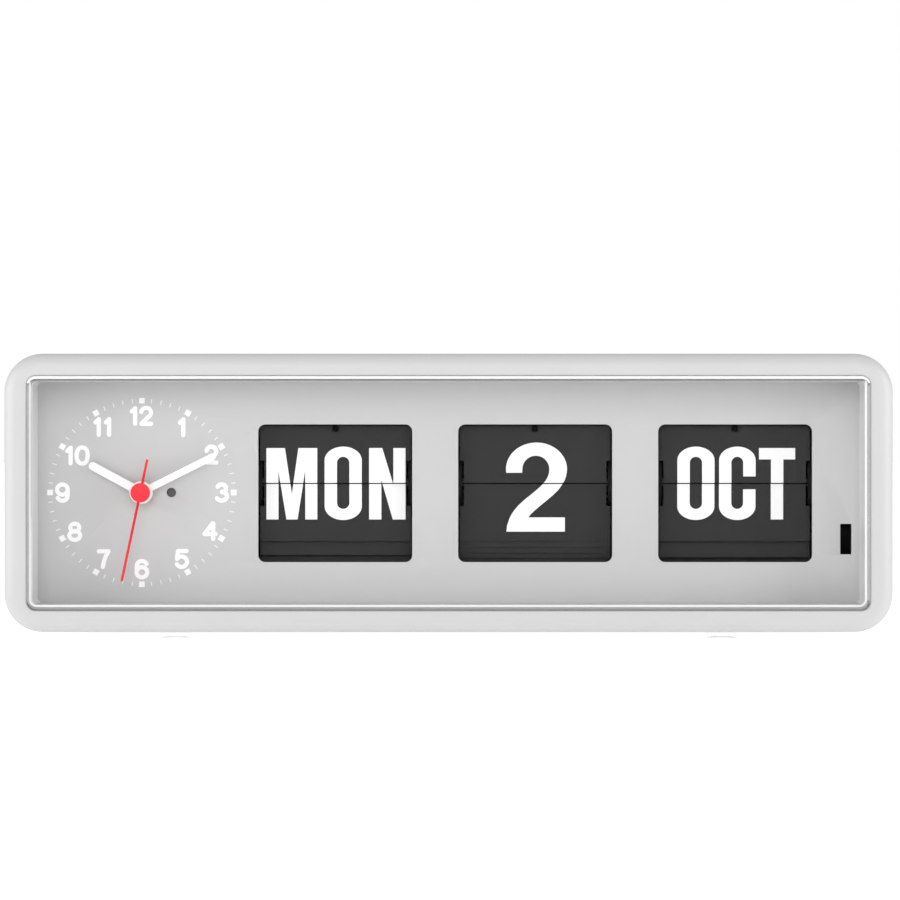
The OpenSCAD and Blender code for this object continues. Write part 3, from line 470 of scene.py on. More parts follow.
# Dial numerals
# The same white print: one to twelve in a bold sans with round stroke ends, each drawn as its
# strokes and fused into one film of ink. The strokes are in mm from the middle of the digit, the
# places in mm from the hands.
digit_stroke = 1.62 * mm
one = [[(-1.25, 1.7), (-0.1, 2.85)], [(0, 2.98), (0, -2.98)]]
two = [arc(0, 1.25, 1.86, 1.85, 172, -38) + [(-1.72, -2.85)], [(-1.75, -2.98), (1.86, -2.98)]]
three = [arc(-0.05, 1.58, 1.7, 1.5, 155, -85), arc(-0.05, -1.42, 2.05, 1.68, 85, -152)]
four = [[(1.0, 2.9), (-2.08, -1.12)], [(-2.08, -1.15), (2.1, -1.15)], [(1.22, 2.9), (1.22, -2.98)]]
five = [[(-1.45, 2.98), (1.8, 2.98)], [(-1.45, 2.95), (-1.78, 0.3)],
        arc(-0.05, -1.1, 2.08, 2.0, 148, -152)]
six_hook = [(-2.0, -1.2), (-1.99, 0.2)] + arc(0.0, 1.2, 1.98, 1.9, 180, 25)
seven = [[(-1.85, 2.98), (1.85, 2.98)], [(1.85, 2.95), (0.95, 1.35), (0.2, -0.6), (-0.3, -2.98)]]
bowl = arc(0, -1.15, 2.02, 1.95, 0, 360, 32)[:-1]
loop = [(math.copysign(abs(x) ** 0.9, x) * 2.1, math.copysign(abs(z) ** 0.9, z) * 3.1)
        for x, z in arc(0, 0, 1, 1, 0, 360, 40)[:-1]]
eight_top = arc(0, 1.56, 1.7, 1.5, 0, 360, 32)[:-1]
eight_foot = arc(0, -1.42, 2.05, 1.68, 0, 360, 32)[:-1]
turned_round = [(-x, -z) for x, z in bowl]
nine_hook = [(-x, -z) for x, z in six_hook]
digit_lines = {"1": one, "2": two, "3": three, "4": four, "5": five, "6": [six_hook], "7": seven,
               "9": [nine_hook]}
digit_rings = {"0": [loop], "6": [bowl], "8": [eight_top, eight_foot], "9": [turned_round]}
digit_places = [("1", -2.57, 29.2), ("2", 1.6, 29.2), ("1", 15.78, 24.9), ("2", 26.5, 14.4),
                ("3", 30.45, 0), ("4", 25.95, -14.7), ("5", 15.2, -25.3), ("6", 0, -29.25),
                ("7", -14.6, -25.4), ("8", -25.6, -14.95), ("9", -30.3, -0.05), ("1", -27.18, 14.1),
                ("0", -22.77, 14.1), ("1", -16.46, 25), ("1", -12.48, 25)]


def beside(points, distance, closed):
    """The points moved sideways to the left of the line by a distance."""
    moved_points = []
    for i, (x, z) in enumerate(points):
        if closed:
            before, after = points[i - 1], points[(i + 1) % len(points)]
        else:
            before, after = points[max(i - 1, 0)], points[min(i + 1, len(points) - 1)]
        along = Vector((after[0] - before[0], after[1] - before[1])).normalized()
        moved_points.append((x - along.y * distance, z + along.x * distance))
    return moved_points


def line_outline(points, width):
    """The outline of a stroke of ink with round ends."""
    half = width / 2
    ends = []
    for end, inner in ((points[-1], points[-2]), (points[0], points[1])):
        heading = math.degrees(math.atan2(end[1] - inner[1], end[0] - inner[0]))
        ends.append(arc(end[0], end[1], half, half, heading + 90, heading - 90, 10)[1:-1])
    left, right = beside(points, half, False), beside(points, -half, False)
    return left + ends[0] + right[::-1] + ends[1]


def inked(bm, outline, front, back):
    """Adds a closed film of ink in the shape of an outline."""
    rows = [[bm.verts.new((x, y, z)) for x, z in outline] for y in (front, back)]
    bridge(bm, rows)
    bm.faces.new(rows[0][::-1])
    bm.faces.new(rows[1])
    bm.normal_update()


def inked_ring(bm, outer, inner, front, back):
    """Adds a closed film of ink between two outlines of equal length."""
    rows = [[bm.verts.new((x, y, z)) for x, z in outline]
            for outline, y in ((outer, front), (outer, back), (inner, back), (inner, front))]
    bridge(bm, rows + rows[:1])


def fused(name, bm):
    """One skin round films of ink that overlap."""
    obj = piece(name, bm)
    union = bpy.data.node_groups.new("fuse_the_strokes", "GeometryNodeTree")
    for side in ("INPUT", "OUTPUT"):
        union.interface.new_socket("Geometry", in_out=side, socket_type="NodeSocketGeometry")
    start, end = union.nodes.new("NodeGroupInput"), union.nodes.new("NodeGroupOutput")
    join = union.nodes.new("GeometryNodeMeshBoolean")
    join.operation = "UNION"
    join.solver = "EXACT"
    join.inputs["Self Intersection"].default_value = True
    union.links.new(start.outputs[0], join.inputs["Mesh 2"])
    union.links.new(join.outputs["Mesh"], end.inputs[0])
    modifier = obj.modifiers.new("fuse", "NODES")
    modifier.node_group = union
    loose = obj.data
    obj.data = evaluated(obj)
    obj.modifiers.remove(modifier)
    bpy.data.meshes.remove(loose)
    return obj


def in_mm(points, x=0, z=0):
    """The points, written in mm, from an origin that is in mm as well."""
    return [((x + px) * mm, (z + pz) * mm) for px, pz in points]


numerals = bmesh.new()
for digit, x, z in digit_places:
    for line in digit_lines.get(digit, []):
        path = moved(in_mm(line, x, z), hands_x, middle_z)
        inked(numerals, line_outline(path, digit_stroke), dial_y - print_height, dial_y)
    for line in digit_rings.get(digit, []):
        path = moved(in_mm(line, x, z), hands_x, middle_z)
        inked_ring(numerals, beside(path, -digit_stroke / 2, True),
                   beside(path, digit_stroke / 2, True), dial_y - print_height, dial_y)
fit(fused("numerals", numerals), white_enamel, "case", "hand_white")

# Movement and motion work
# A quartz movement in a black moulded box behind the dial: acetal wheels on steel arbors, a step
# motor with an enamelled copper coil, a small board and a brass bush through the dial.
black_moulding = finish("black_moulding", (38, 38, 39), 0.5, 0.3, 0.01, 0.08)
natural_acetal = finish("natural_acetal", (232, 229, 216), 0.38, 0.25, 0.004)
ground_steel = finish("ground_steel", (176, 177, 180), 0.3, 0.08, 0.004, 0.06, 1.0)
nickel_strip = finish("nickel_strip", (196, 193, 184), 0.26, 0.15, 0.003, 0.05, 1.0)
turned_brass = finish("turned_brass", (196, 160, 92), 0.28, 0.1, 0.003, 0.06, 1.0)
sintered_magnet = finish("sintered_magnet", (86, 86, 90), 0.45, 0.06, 0.01, 0.1, 0.8)
copper_winding = finish("copper_winding", (190, 110, 62), 0.35, 0.12, 0.03, 0.12, 0.9)
board_lacquer = finish("board_lacquer", (34, 96, 58), 0.32, 0.4, 0.01, 0.1)
coat(black_moulding, "movement_case", "movement_cover")
coat(natural_acetal, "hour_wheel", "cannon_pinion", "minute_wheel", "second_wheel", "fifth_wheel")
coat(ground_steel, "setting_arbor")
coat(nickel_strip, "motor_stator", "quartz_crystal")
coat(turned_brass, "dial_bush")
coat(sintered_magnet, "motor_rotor")
coat(copper_winding, "motor_coil")
coat(board_lacquer, "circuit_board")

# Day and night wheel
# A toothed disc of pale acetal behind the peephole that turns once a day. Half of its face is
# printed grey, so that the peephole tells the night from the day. The hands stand at ten in the
# evening.
day_low, day_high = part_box("day_night_wheel")
day_x, day_z = (day_low.x + day_high.x) / 2, (day_low.z + day_high.z) / 2
night_radius, night_hole = 10.8 * mm, 2.5 * mm
night_from, night_to = 21, 201
night = bmesh.new()
night_outline = (arc(day_x, day_z, night_radius, night_radius, night_from, night_to, 32)
                 + arc(day_x, day_z, night_hole, night_hole, night_to, night_from))
inked(night, night_outline, day_low.y - print_height, day_low.y)
night_grey = finish("night_grey", (112, 112, 113), 0.55, 0.2, 0.006, 0.05)
fit(piece("night_print", night), night_grey, "day_night", "day_night_disc")
coat(natural_acetal, "day_night_wheel")

# Dial screws
# Eight zinc plated screws from the rear through the ears of the dial into the tunnel.
zinc_plate = finish("zinc_plate", (186, 188, 192), 0.32, 0.1, 0.003, 0.05, 1.0)
coat(zinc_plate, "dial_screws", "base_screws")

# Hour and minute hands
# Flat strips of aluminium with a round boss, stamped, rounded off at the edges and painted white.
# Each is pressed on its pipe.
hub_radius = 4.325 * mm
hand_edge = 0.18 * mm


def on_the_hour(points, clock_angle):
    """The points of a hand at twelve, turned clockwise by an angle and put on the axis."""
    turn_by = math.radians(-clock_angle)
    return [(hands_x + x * math.cos(turn_by) - z * math.sin(turn_by),
             middle_z + x * math.sin(turn_by) + z * math.cos(turn_by)) for x, z in points]


def hand_outline(length, width):
    """The outline of a straight hand with a round boss, at twelve."""
    half = width / 2
    gap = math.degrees(math.asin(half / hub_radius))
    shoulder = math.sqrt(hub_radius ** 2 - half ** 2)
    return [(half, shoulder), *arc(0, length - half, half, half, 0, 180), (-half, shoulder),
            *arc(0, 0, hub_radius, hub_radius, 90 + gap, 450 - gap, 60)[1:-1]]


hand_paint = finish("hand_paint", (252, 252, 252), 0.4, 0.2, 0.003, 0.005)
for name, length, width, clock_angle, pipe in (
    ("hour", 22.6 * mm, 3.2 * mm, 298.5, 5.02 * mm),
    ("minute", 31.7 * mm, 2.6 * mm, 63.4, 3.02 * mm),
):
    low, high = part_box(name + "_hand")
    rim = on_the_hour(hand_outline(length, width), clock_angle)
    bore = circle(pipe, hands_x, middle_z)
    obj = cut_plate(name + "_hand_dressed", [rim, bore], low.y, high.y, hand_edge)
    fit(obj, hand_paint, name, "hand_white", name + "_hand")

# Second hand
# A thin red strip with a tail, riveted under a flat red cap that covers the end of the arbor.
second_low, second_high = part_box("second_hand")
second_length, second_tail, second_width = 34.3 * mm, 12.9 * mm, 0.95 * mm
second_angle = 191.9
second_sheet, second_gap = 0.6 * mm, 0.1 * mm
cap_radius, bore_radius = 3.65 * mm, 0.51 * mm
cap_flat, cap_shoulder, shoulder_down, side_down = 3.15 * mm, 3.5 * mm, 0.12 * mm, 0.45 * mm
cap_depth = second_high.y - second_low.y
bore_end = cap_depth - second_sheet
cap_profile = [(0, 0), (cap_flat, 0), (cap_shoulder, shoulder_down), (cap_radius, side_down),
               (cap_radius, cap_depth), (bore_radius, cap_depth), (bore_radius, bore_end),
               (0, bore_end)]
strip = bmesh.new()
half = second_width / 2
strip_outline = [(-half, -second_tail), (half, -second_tail), (half, second_length),
                 (-half, second_length)]
inked(strip, on_the_hour(strip_outline, second_angle), second_high.y - second_sheet,
      second_high.y - second_gap)
turn(strip, cap_profile, (hands_x, second_low.y, middle_z), (0, 1, 0))
red_paint = finish("red_paint", (244, 48, 60), 0.42, 0.2, 0.003, 0.01, shine=0.3)
fit(fused("second_hand_dressed", strip), red_paint, "second", "hand_red", "second_hand")

# Calendar frame
# Four sheet steel cheeks on a base carry the axles of the three flip units, with a black spring
# strip across the top whose fingers hold the standing leaves, and click springs below the drums.
frame_paint = finish("frame_paint", (62, 62, 64), 0.5, 0.3, 0.008, 0.06)
# The spring strip is black, and its colour is darkened further as painted shade for the dark top of
# each window.
black_strip_painted_shade = finish("black_strip_painted_shade", (5, 5, 5), 0.7, 0.15, 0.006, 0.1, shine=0.1)
coat(frame_paint, "calendar_base", "calendar_cheeks")
coat(black_strip_painted_shade, "flap_fingers")
coat(nickel_strip, "drum_detents")
coat(ground_steel, "drum_axle", "thumb_axle")

# Drums
# Black moulded drums on the common axle, each with a disc at both ends that takes the flap pins
# and a gear at the right.
drum_black = finish("drum_black", (14, 14, 14), 0.6, 0.3, 0.01, 0.1, shine=0.15)
coat(drum_black, "weekday_drum", "date_drum", "month_drum")

# Flaps and falling leaves
# Thin charcoal sheet with a fine matte grain. The pack hangs on the drum, and the front leaf of
# each window stands under its finger until it falls.
flap_charcoal = finish("flap_charcoal", (50, 50, 50), 0.66, 0.1, 0.0012, 0.015, shine=0.2)
coat(flap_charcoal, "weekday_flaps", "date_flaps", "month_flaps",
     "weekday_leaf", "date_leaf", "month_leaf")

# Flap print
# White screen print in a bold narrow sans. The split cuts each word: its upper half is on the leaf,
# its lower half on the flap below. Leaf backs and the flaps behind have the next day, which a
# falling leaf completes. Letters are in mm from their left edge and from the split.
hinge_y, split_z = -20 * mm, 58.9 * mm
leaf_lean = math.radians(-1.75)
leaf_face = 0.2 * mm
pack_y, pack_rise = -19.065 * mm, 0.89 * mm
pack_lean = math.radians(-4.5)
pack_face = 0.1 * mm
film = 0.06 * mm
upper_cut, lower_cut, next_cut = -0.24 * mm, -0.65 * mm, 0.7 * mm
cap_top, cap_foot = 13.05, -14.25
round_top, round_foot, round_bend = 13.6, -14.45, 5.2
bowl_top, bowl_foot, bowl_bend = 9.7, -10.2, 2.3


def tall_loop(left, right, low, high, bend):
    """An upright loop with straight sides, bent over at the top and foot."""
    middle, half = (left + right) / 2, (right - left) / 2
    return (arc(middle, high - bend, half, bend, 0, 180, 24)
            + arc(middle, low + bend, half, bend, 180, 360, 24))


m_outline = [(0, cap_top), (7.1, cap_top), (9.75, -4.5), (12.25, cap_top), (19.45, cap_top),
             (19.45, cap_foot), (14.85, cap_foot), (14.85, 4.6), (11.9, cap_foot), (7.65, cap_foot),
             (4.62, 4.2), (4.62, cap_foot), (0, cap_foot)]
n_outline = [(0, cap_top), (5.05, cap_top), (9.27, -1), (9.27, cap_top), (13.9, cap_top),
             (13.9, cap_foot), (9.05, cap_foot), (4.68, 0.8), (4.68, cap_foot), (0, cap_foot)]
t_outline = [(0, cap_top), (13.8, cap_top), (13.8, 8.7), (9.27, 8.7), (9.27, cap_foot),
             (4.55, cap_foot), (4.55, 8.7), (0, 8.7)]
e_outline = [(0, cap_top), (11.8, cap_top), (11.8, 8.7), (4.7, 8.7), (4.7, 1.7), (10.8, 1.7),
             (10.8, -2.6), (4.7, -2.6), (4.7, -9.9), (11.8, -9.9), (11.8, cap_foot), (0, cap_foot)]
v_outline = [(0, cap_top), (5.1, cap_top), (7.6, -7.5), (10.1, cap_top), (15.2, cap_top),
             (10.3, cap_foot), (4.9, cap_foot)]
u_outline = [(0, cap_top), *arc(7.1, round_foot + round_bend, 7.1, round_bend, 180, 360, 24),
             (14.2, cap_top), (9.5, cap_top),
             *arc(7.1, bowl_foot + bowl_bend, 2.4, bowl_bend, 360, 180), (4.7, cap_top)]
c_outline = [(13.95, 2.2), *tall_loop(0, 13.95, round_foot, round_top, round_bend), (13.95, -2.7),
             (9.2, -2.7), *tall_loop(4.7, 9.2, bowl_foot, bowl_top, bowl_bend)[::-1], (9.2, 2.2)]
two_outline = [(-10.95, -18.9), (-10.65, -16.5), (-9.8, -13.9), (-9, -12.3), (-8, -10.8),
               (-6.4, -8.9), (-4.35, -7), (-2, -5.1), (0.3, -3.2), (2.1, -1.65), (4.1, 0.65),
               (4.95, 2.2), (5.35, 3.7), *arc(0.3, 5, 5.15, 5.1, 0, 180, 24), (-4.95, 3.6),
               (-11, 3.6), *arc(0.55, 5, 11.65, 10.15, 180, 0, 32), (12.1, 3.7), (11.8, 2.2),
               (11.25, 0.65), (9.9, -1.65), (8.65, -3.2), (6.7, -5.1), (4.45, -7), (2.1, -8.9),
               (-0.1, -10.8), (-1.7, -12.3), (-2.55, -13.45), (11.4, -13.45), (11.4, -18.9)]
three_outline = [*arc(0.2, 6.2, 11.2, 9, 170, -40, 24), *arc(0, -8.5, 12.2, 10.4, 50, -168, 30),
                 *arc(0, -8.4, 5.8, 5, -168, 90, 24), (-3.5, -3.4), (-3.5, 1.8),
                 *arc(0.2, 6, 4.9, 4.1, -90, 170, 24)]
letter_shapes = {"M": m_outline, "N": n_outline, "T": t_outline, "E": e_outline, "V": v_outline,
                 "U": u_outline, "C": c_outline, "2": two_outline, "3": three_outline}
letter_o = (tall_loop(0, 14.2, round_foot, round_top, round_bend),
            tall_loop(4.75, 9.45, bowl_foot, bowl_top, bowl_bend))
monday = [("M", -26.4), ("O", -4.15), ("N", 12.85)]
tuesday = [("T", -21.5), ("U", -6.5), ("E", 9.7)]
october = [("O", -21.9), ("C", -5.95), ("T", 9.3)]
november = [("N", -22.8), ("O", -7.1), ("V", 7.6)]


def half_word(name, word, cut, upper, face, place):
    """Half a word as a film of ink, cut at a height, laid on a sheet's face and put in place."""
    bm = bmesh.new()
    for letter, left in word:
        if letter == "O":
            outer, inner = [in_mm(line, left) for line in letter_o]
            inked_ring(bm, outer, inner, -face - film, -face)
        else:
            inked(bm, in_mm(letter_shapes[letter], left), -face - film, -face)
    kept_side = (0, 0, 1 if upper else -1)
    whole = bm.verts[:] + bm.edges[:] + bm.faces[:]
    bmesh.ops.bisect_plane(bm, geom=whole, plane_co=(0, 0, cut), plane_no=kept_side,
                           clear_inner=True)
    bmesh.ops.holes_fill(bm, edges=[edge for edge in bm.edges if edge.is_boundary])
    bmesh.ops.transform(bm, matrix=place, verts=bm.verts)
    return piece(name, bm)


flap_ink = finish("flap_ink", (250, 250, 250), 0.5, 0.15, 0.002, 0.005)
for window, word, next_word in (("weekday", monday, tuesday), ("date", [("2", 0)], [("3", 0)]),
                                ("month", october, november)):
    x = window_centres[window]
    standing = Matrix.Translation((x, hinge_y, split_z)) @ Matrix.Rotation(leaf_lean, 4, "X")
    leaf_back = standing @ Matrix.Rotation(math.pi, 4, "X")
    hanging = Matrix.Translation((x, pack_y, split_z))
    next_up = (Matrix.Translation((x, pack_y, split_z + pack_rise))
               @ Matrix.Rotation(pack_lean, 4, "X") @ Matrix.Translation((0, 0, -pack_rise)))
    leaf = window + "_leaf"
    for half, text, cut, upper, face, place, body in (
        ("upper", word, upper_cut, True, leaf_face, standing, leaf),
        ("lower", word, lower_cut, False, pack_face, hanging, "case"),
        ("next_lower", next_word, lower_cut, False, leaf_face, leaf_back, leaf),
        ("next_upper", next_word, next_cut, True, pack_face, next_up, "case"),
    ):
        printed = half_word(f"{window}_{half}_print", text, cut, upper, face, place)
        fit(printed, flap_ink, body, "hand_white")

# Leap year wheel
# A black moulded wheel behind the slot at the right, turned by the month drum. Its colour is
# darkened to near black as painted shade, so that the slot reads as a dark hollow.
leap_wheel_painted_shade = finish("leap_wheel_painted_shade", (6, 6, 6), 0.8, 0.3, 0.01, 0.2, shine=0.1)
coat(leap_wheel_painted_shade, "leap_year_wheel")
coat(natural_acetal, "leap_year_gear")

# Front lens
# A plate of clear acrylic with a rounded and polished front edge. It lies on the ledge of the
# rebate and stands a little proud of the bezel. Its edge is coloured by the way it faces: a white
# painted highlight along the top, painted shade along the foot and a painted half shade at the
# sides.
lens_low, lens_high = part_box("front_lens")
lens_w, lens_h = lens_high.x - lens_low.x, lens_high.z - lens_low.z
lens_corner, lens_edge = 3.6 * mm, 1.4 * mm
lens_rear_bevel = 0.25 * mm
rim_slope = 0.2
lens_rings = rounded_edge(lens_w, lens_h, lens_corner, lens_edge, lens_low.y)
lens_rings.append(ring(lens_w, lens_h, lens_corner, lens_high.y - lens_rear_bevel))
lens_rings.append(ring(lens_w, lens_h, lens_corner, lens_high.y, -lens_rear_bevel))
lens = loft("lens", lens_rings, False)
clear_sheet = clear_plastic("clear_sheet", (120, 122, 122), 0.05, 0.0, 0.5)
foot_rim_painted_shade = clear_plastic("foot_rim_painted_shade", (92, 93, 94), 0.08, 0.36, 0.75)
side_rim_painted_half_shade = clear_plastic("side_rim_painted_half_shade", (150, 151, 152), 0.08, 0.2, 0.6)
top_rim_painted_highlight = clear_plastic("top_rim_painted_highlight", (254, 254, 254), 0.08, 0.95, 1)
fit(lens, clear_sheet, "case", "lens_clear", "front_lens")
for rim in (foot_rim_painted_shade, side_rim_painted_half_shade, top_rim_painted_highlight):
    lens.data.materials.append(rim)
# Rim faces that turn up get the painted highlight, those that turn down the painted shade, the
# sides the painted half shade.
for face in lens.data.polygons:
    if len(face.vertices) == 4:
        rise = face.normal.z
        face.material_index = 3 if rise > rim_slope else 1 if rise < -rim_slope else 2

# Painted highlight and shade strips
# A narrow white strip under the foot and both sides of the lens is a painted highlight, and a grey
# strip along the top is painted shade. Both lie behind the lens and show through the clear edge as
# lines.
strip_left, strip_right, strip_foot = -157.9 * mm, 157.4 * mm, 12.2 * mm
strip_width, strip_corner = 0.75 * mm, 2.9 * mm
strip_top = 97.5 * mm
strip_front, strip_rear = lens_high.y - 0.06 * mm, lens_high.y - 0.01 * mm
shade_half, shade_low, shade_high = 157.4 * mm, 97.2 * mm, 98.1 * mm
strip_bend = strip_corner - strip_width
left_bend, right_bend = strip_left + strip_corner, strip_right - strip_corner
foot_bend = strip_foot + strip_corner
highlight_outline = [(strip_left, strip_top),
                *arc(left_bend, foot_bend, strip_corner, strip_corner, 180, 270),
                *arc(right_bend, foot_bend, strip_corner, strip_corner, 270, 360),
                (strip_right, strip_top), (strip_right - strip_width, strip_top),
                *arc(right_bend, foot_bend, strip_bend, strip_bend, 360, 270),
                *arc(left_bend, foot_bend, strip_bend, strip_bend, 270, 180),
                (strip_left + strip_width, strip_top)]
shade_outline = [(-shade_half, shade_high), (-shade_half, shade_low), (shade_half, shade_low),
                (shade_half, shade_high)]
# The white strip is a painted highlight and the grey strip is painted shade.
highlight_strip_paint = finish("highlight_strip_paint", (252, 252, 252), 0.6, 0.2, 0.002, 0.01)
shade_strip_paint = finish("shade_strip_paint", (150, 150, 150), 0.9, 0.1, 0.01, 0.04)
for name, outline, material in (("lens_tape", highlight_outline, highlight_strip_paint),
                                ("lens_seal", shade_outline, shade_strip_paint)):
    strip = bmesh.new()
    inked(strip, outline, strip_front, strip_rear)
    fit(piece(name, strip), material, "case", "lens_clear")

# Back cover
# A flat moulding in the same grey, set into the rear of the shell: keyholes for a wall, slots for
# the thumbwheels, a tray for the cell and two rails for its door.
cover_front, cover_rear = 35.5 * mm, 38 * mm
cover_w, cover_h, cover_corner = 329.4 * mm, 99.4 * mm, 11.7 * mm
cover_edge = 0.3 * mm
cover_screws = [(x * 159.36 * mm, middle_z + z * 44.36 * mm) for x in (-1, 0, 1) for z in (-1, 1)]
screw_hole = 3 * mm
keyhole_at = [(-100 * mm, 83 * mm), (100 * mm, 83 * mm)]
keyhole_radius, keyhole_half, keyhole_up = 4 * mm, 2 * mm, 8 * mm
wheel_slot_x, wheel_slot_w, wheel_slot_h = 32.65 * mm, 6.1 * mm, 32.4 * mm
wheel_slot_corner = 1 * mm
knob_at = (-127.51 * mm, 65.61 * mm)
knob_hole = 3 * mm
tray_x, tray_z = -115.5 * mm, 27.5 * mm
tray_w, tray_h, tray_wall, tray_corner = 57 * mm, 28 * mm, 1.6 * mm, 0.5 * mm
tray_floor = 6.9 * mm
door_half_w, door_half_h, door_thick, door_gap = 31.5 * mm, 17 * mm, 2 * mm, 0.3 * mm
rail_width, rail_lip, rail_lip_thick, rail_edge = 2.4 * mm, 1.4 * mm, 1.4 * mm, 0.25 * mm
rail_root = cover_rear - 0.2 * mm


def keyhole(x, z):
    """A round hole with a slot above it."""
    opening = math.degrees(math.asin(keyhole_half / keyhole_radius))
    return moved(arc(0, 0, keyhole_radius, keyhole_radius, 90 + opening, 450 - opening, 32)
                 + arc(0, keyhole_up, keyhole_half, keyhole_half, 0, 180), x, z)


def tray_ring(grow, y):
    """The rectangle of the tray, larger on each side by grow, as a ring of points."""
    outline = rounded_outline(tray_w + 2 * grow, tray_h + 2 * grow, tray_corner + grow, 4)
    return [Vector((x, y, z)) for x, z in moved(outline, tray_x, tray_z)]


def rails():
    """The two rails of the door: an angle along the top and one along the foot."""
    bm = bmesh.new()
    low = door_half_h + door_gap
    lip = cover_rear + door_thick + door_gap
    lip_rear = lip + rail_lip_thick
    profile = [(rail_root, low), (rail_root, low + rail_width), (lip_rear, low + rail_width),
               (lip_rear, low - rail_lip), (lip, low - rail_lip), (lip, low)]
    for side in (1, -1):
        inked(bm, [(y, tray_z + side * z) for y, z in profile],
              -tray_x - door_half_w, -tray_x + door_half_w)
    bmesh.ops.transform(bm, matrix=Matrix.Rotation(math.pi / 2, 4, "Z"), verts=bm.verts)
    bmesh.ops.bevel(bm, geom=bm.edges[:], offset=rail_edge, segments=2, affect="EDGES")
    return piece("door_rails", bm)


cover_outlines = [moved(rounded_outline(cover_w, cover_h, cover_corner), 0, middle_z)]
cover_outlines += [circle(screw_hole, x, z, 24) for x, z in cover_screws]
cover_outlines += [keyhole(x, z) for x, z in keyhole_at]
wheel_slot = rounded_outline(wheel_slot_w, wheel_slot_h, wheel_slot_corner, 4)
cover_outlines += [moved(wheel_slot, x + wheel_slot_x, split_z) for x in window_centres.values()]
cover_outlines.append(circle(knob_hole, *knob_at, 32))
cover_outlines.append([(point.x, point.z) for point in tray_ring(0, 0)])
cover_plate = cut_plate("cover", cover_outlines, cover_front, cover_rear, cover_edge)
tray_rings = [tray_ring(0, tray_floor), tray_ring(0, cover_front),
              tray_ring(tray_wall, cover_front), tray_ring(tray_wall, tray_floor - tray_wall)]
tray = loft("cell_tray", tray_rings, False)
cover_abs = finish("cover_abs", (200, 200, 199), 0.55, 0.5, 0.03)
fit(cover_plate, cover_abs, "case", "cover_plastic", "back_cover")
fit(tray, cover_abs, "case", "cover_plastic")
fit(rails(), cover_abs, "case", "cover_plastic")

# Case screws
# Six zinc plated pan head screws with a cross recess hold the cover to the bosses of the shell.
head_radius, head_side, head_height = 2.6 * mm, 0.7 * mm, 1.6 * mm
dome_radius, dome_rise, crown_radius = 2.35 * mm, 1.2 * mm, 1.7 * mm
shank_radius, shank_length, shank_tip = 1.29 * mm, 6.9 * mm, 7.5 * mm
recess_half, recess_wide, recess_deep, recess_over = 1.5 * mm, 0.32 * mm, 0.8 * mm, 1 * mm


def cross_screw():
    """One screw with its head towards the rear and the underside of the head at the origin."""
    profile = [(0, -shank_tip), (shank_radius, -shank_length), (shank_radius, 0), (head_radius, 0),
               (head_radius, head_side), (dome_radius, dome_rise), (crown_radius, head_height),
               (0, head_height)]
    bm = bmesh.new()
    turn(bm, profile, (0, 0, 0), (0, 1, 0), 32)
    screw = piece("screw", bm)
    cutter = bmesh.new()
    for across, up in ((recess_half, recess_wide), (recess_wide, recess_half)):
        inked(cutter, [(-across, -up), (across, -up), (across, up), (-across, up)],
              head_height - recess_deep, head_height + recess_over)
    recess = fused("recess", cutter)
    cut = screw.modifiers.new("recess", "BOOLEAN")
    cut.operation = "DIFFERENCE"
    cut.object = recess
    screw.data = evaluated(screw)
    screw.modifiers.remove(cut)
    bpy.data.objects.remove(recess)
    return screw


screws = spread("cover_screws", cross_screw(), [(x, cover_rear, z) for x, z in cover_screws])
fit(screws, zinc_plate, "case", "screw_steel", "case_screws")

# Cell and contacts
# One C cell in a plain dark wrap lies in the tray between a bent leaf and a flat contact of nickel
# plated strip. Two insulated leads go on to the movement.
cell_wrap = finish("cell_wrap", (62, 66, 72), 0.3, 0.5, 0.002, 0.03)
lead_sleeve = finish("lead_sleeve", (164, 44, 40), 0.4, 0.2, 0.004, 0.04)
coat(cell_wrap, "battery_cell")
coat(nickel_strip, "battery_spring", "battery_contact")
coat(lead_sleeve, "battery_leads")

# Battery door
# A flat lid in the colour of the cover that slides to the side in the two rails, with raised grip
# ribs near its outer end.
door_edge, door_corner = 0.35 * mm, 1 * mm
rib_rise, rib_half_w, rib_half_h, rib_corner = 0.4 * mm, 0.5 * mm, 8.5 * mm, 0.45 * mm
rib_root, rib_bevel = -0.2 * mm, 0.2 * mm
rib_first, rib_step, rib_count = 4 * mm, 2 * mm, 5
door_face = cover_rear + door_thick - rib_rise
door_outline = moved(rounded_outline(2 * door_half_w, 2 * door_half_h, door_corner, 6),
                     tray_x, tray_z)
door = cut_plate("cell_door", [door_outline], cover_rear, door_face, door_edge)
rib = bmesh.new()
inked(rib, rounded_outline(2 * rib_half_w, 2 * rib_half_h, rib_corner, 4), rib_root, rib_rise)
long_edges = [edge for edge in rib.edges if edge.calc_length() > rib_half_h
              and max(point.co.y for point in edge.verts) > 0]
bmesh.ops.bevel(rib, geom=long_edges, offset=rib_bevel, segments=2, affect="EDGES")
rib_places = [(tray_x - door_half_w + rib_first + i * rib_step, door_face, tray_z)
              for i in range(rib_count)]
door_ribs = spread("cell_door_ribs", piece("rib", rib), rib_places)
fit(door, cover_abs, "battery_door", "cover_plastic", "battery_door")
fit(door_ribs, cover_abs, "battery_door", "cover_plastic")

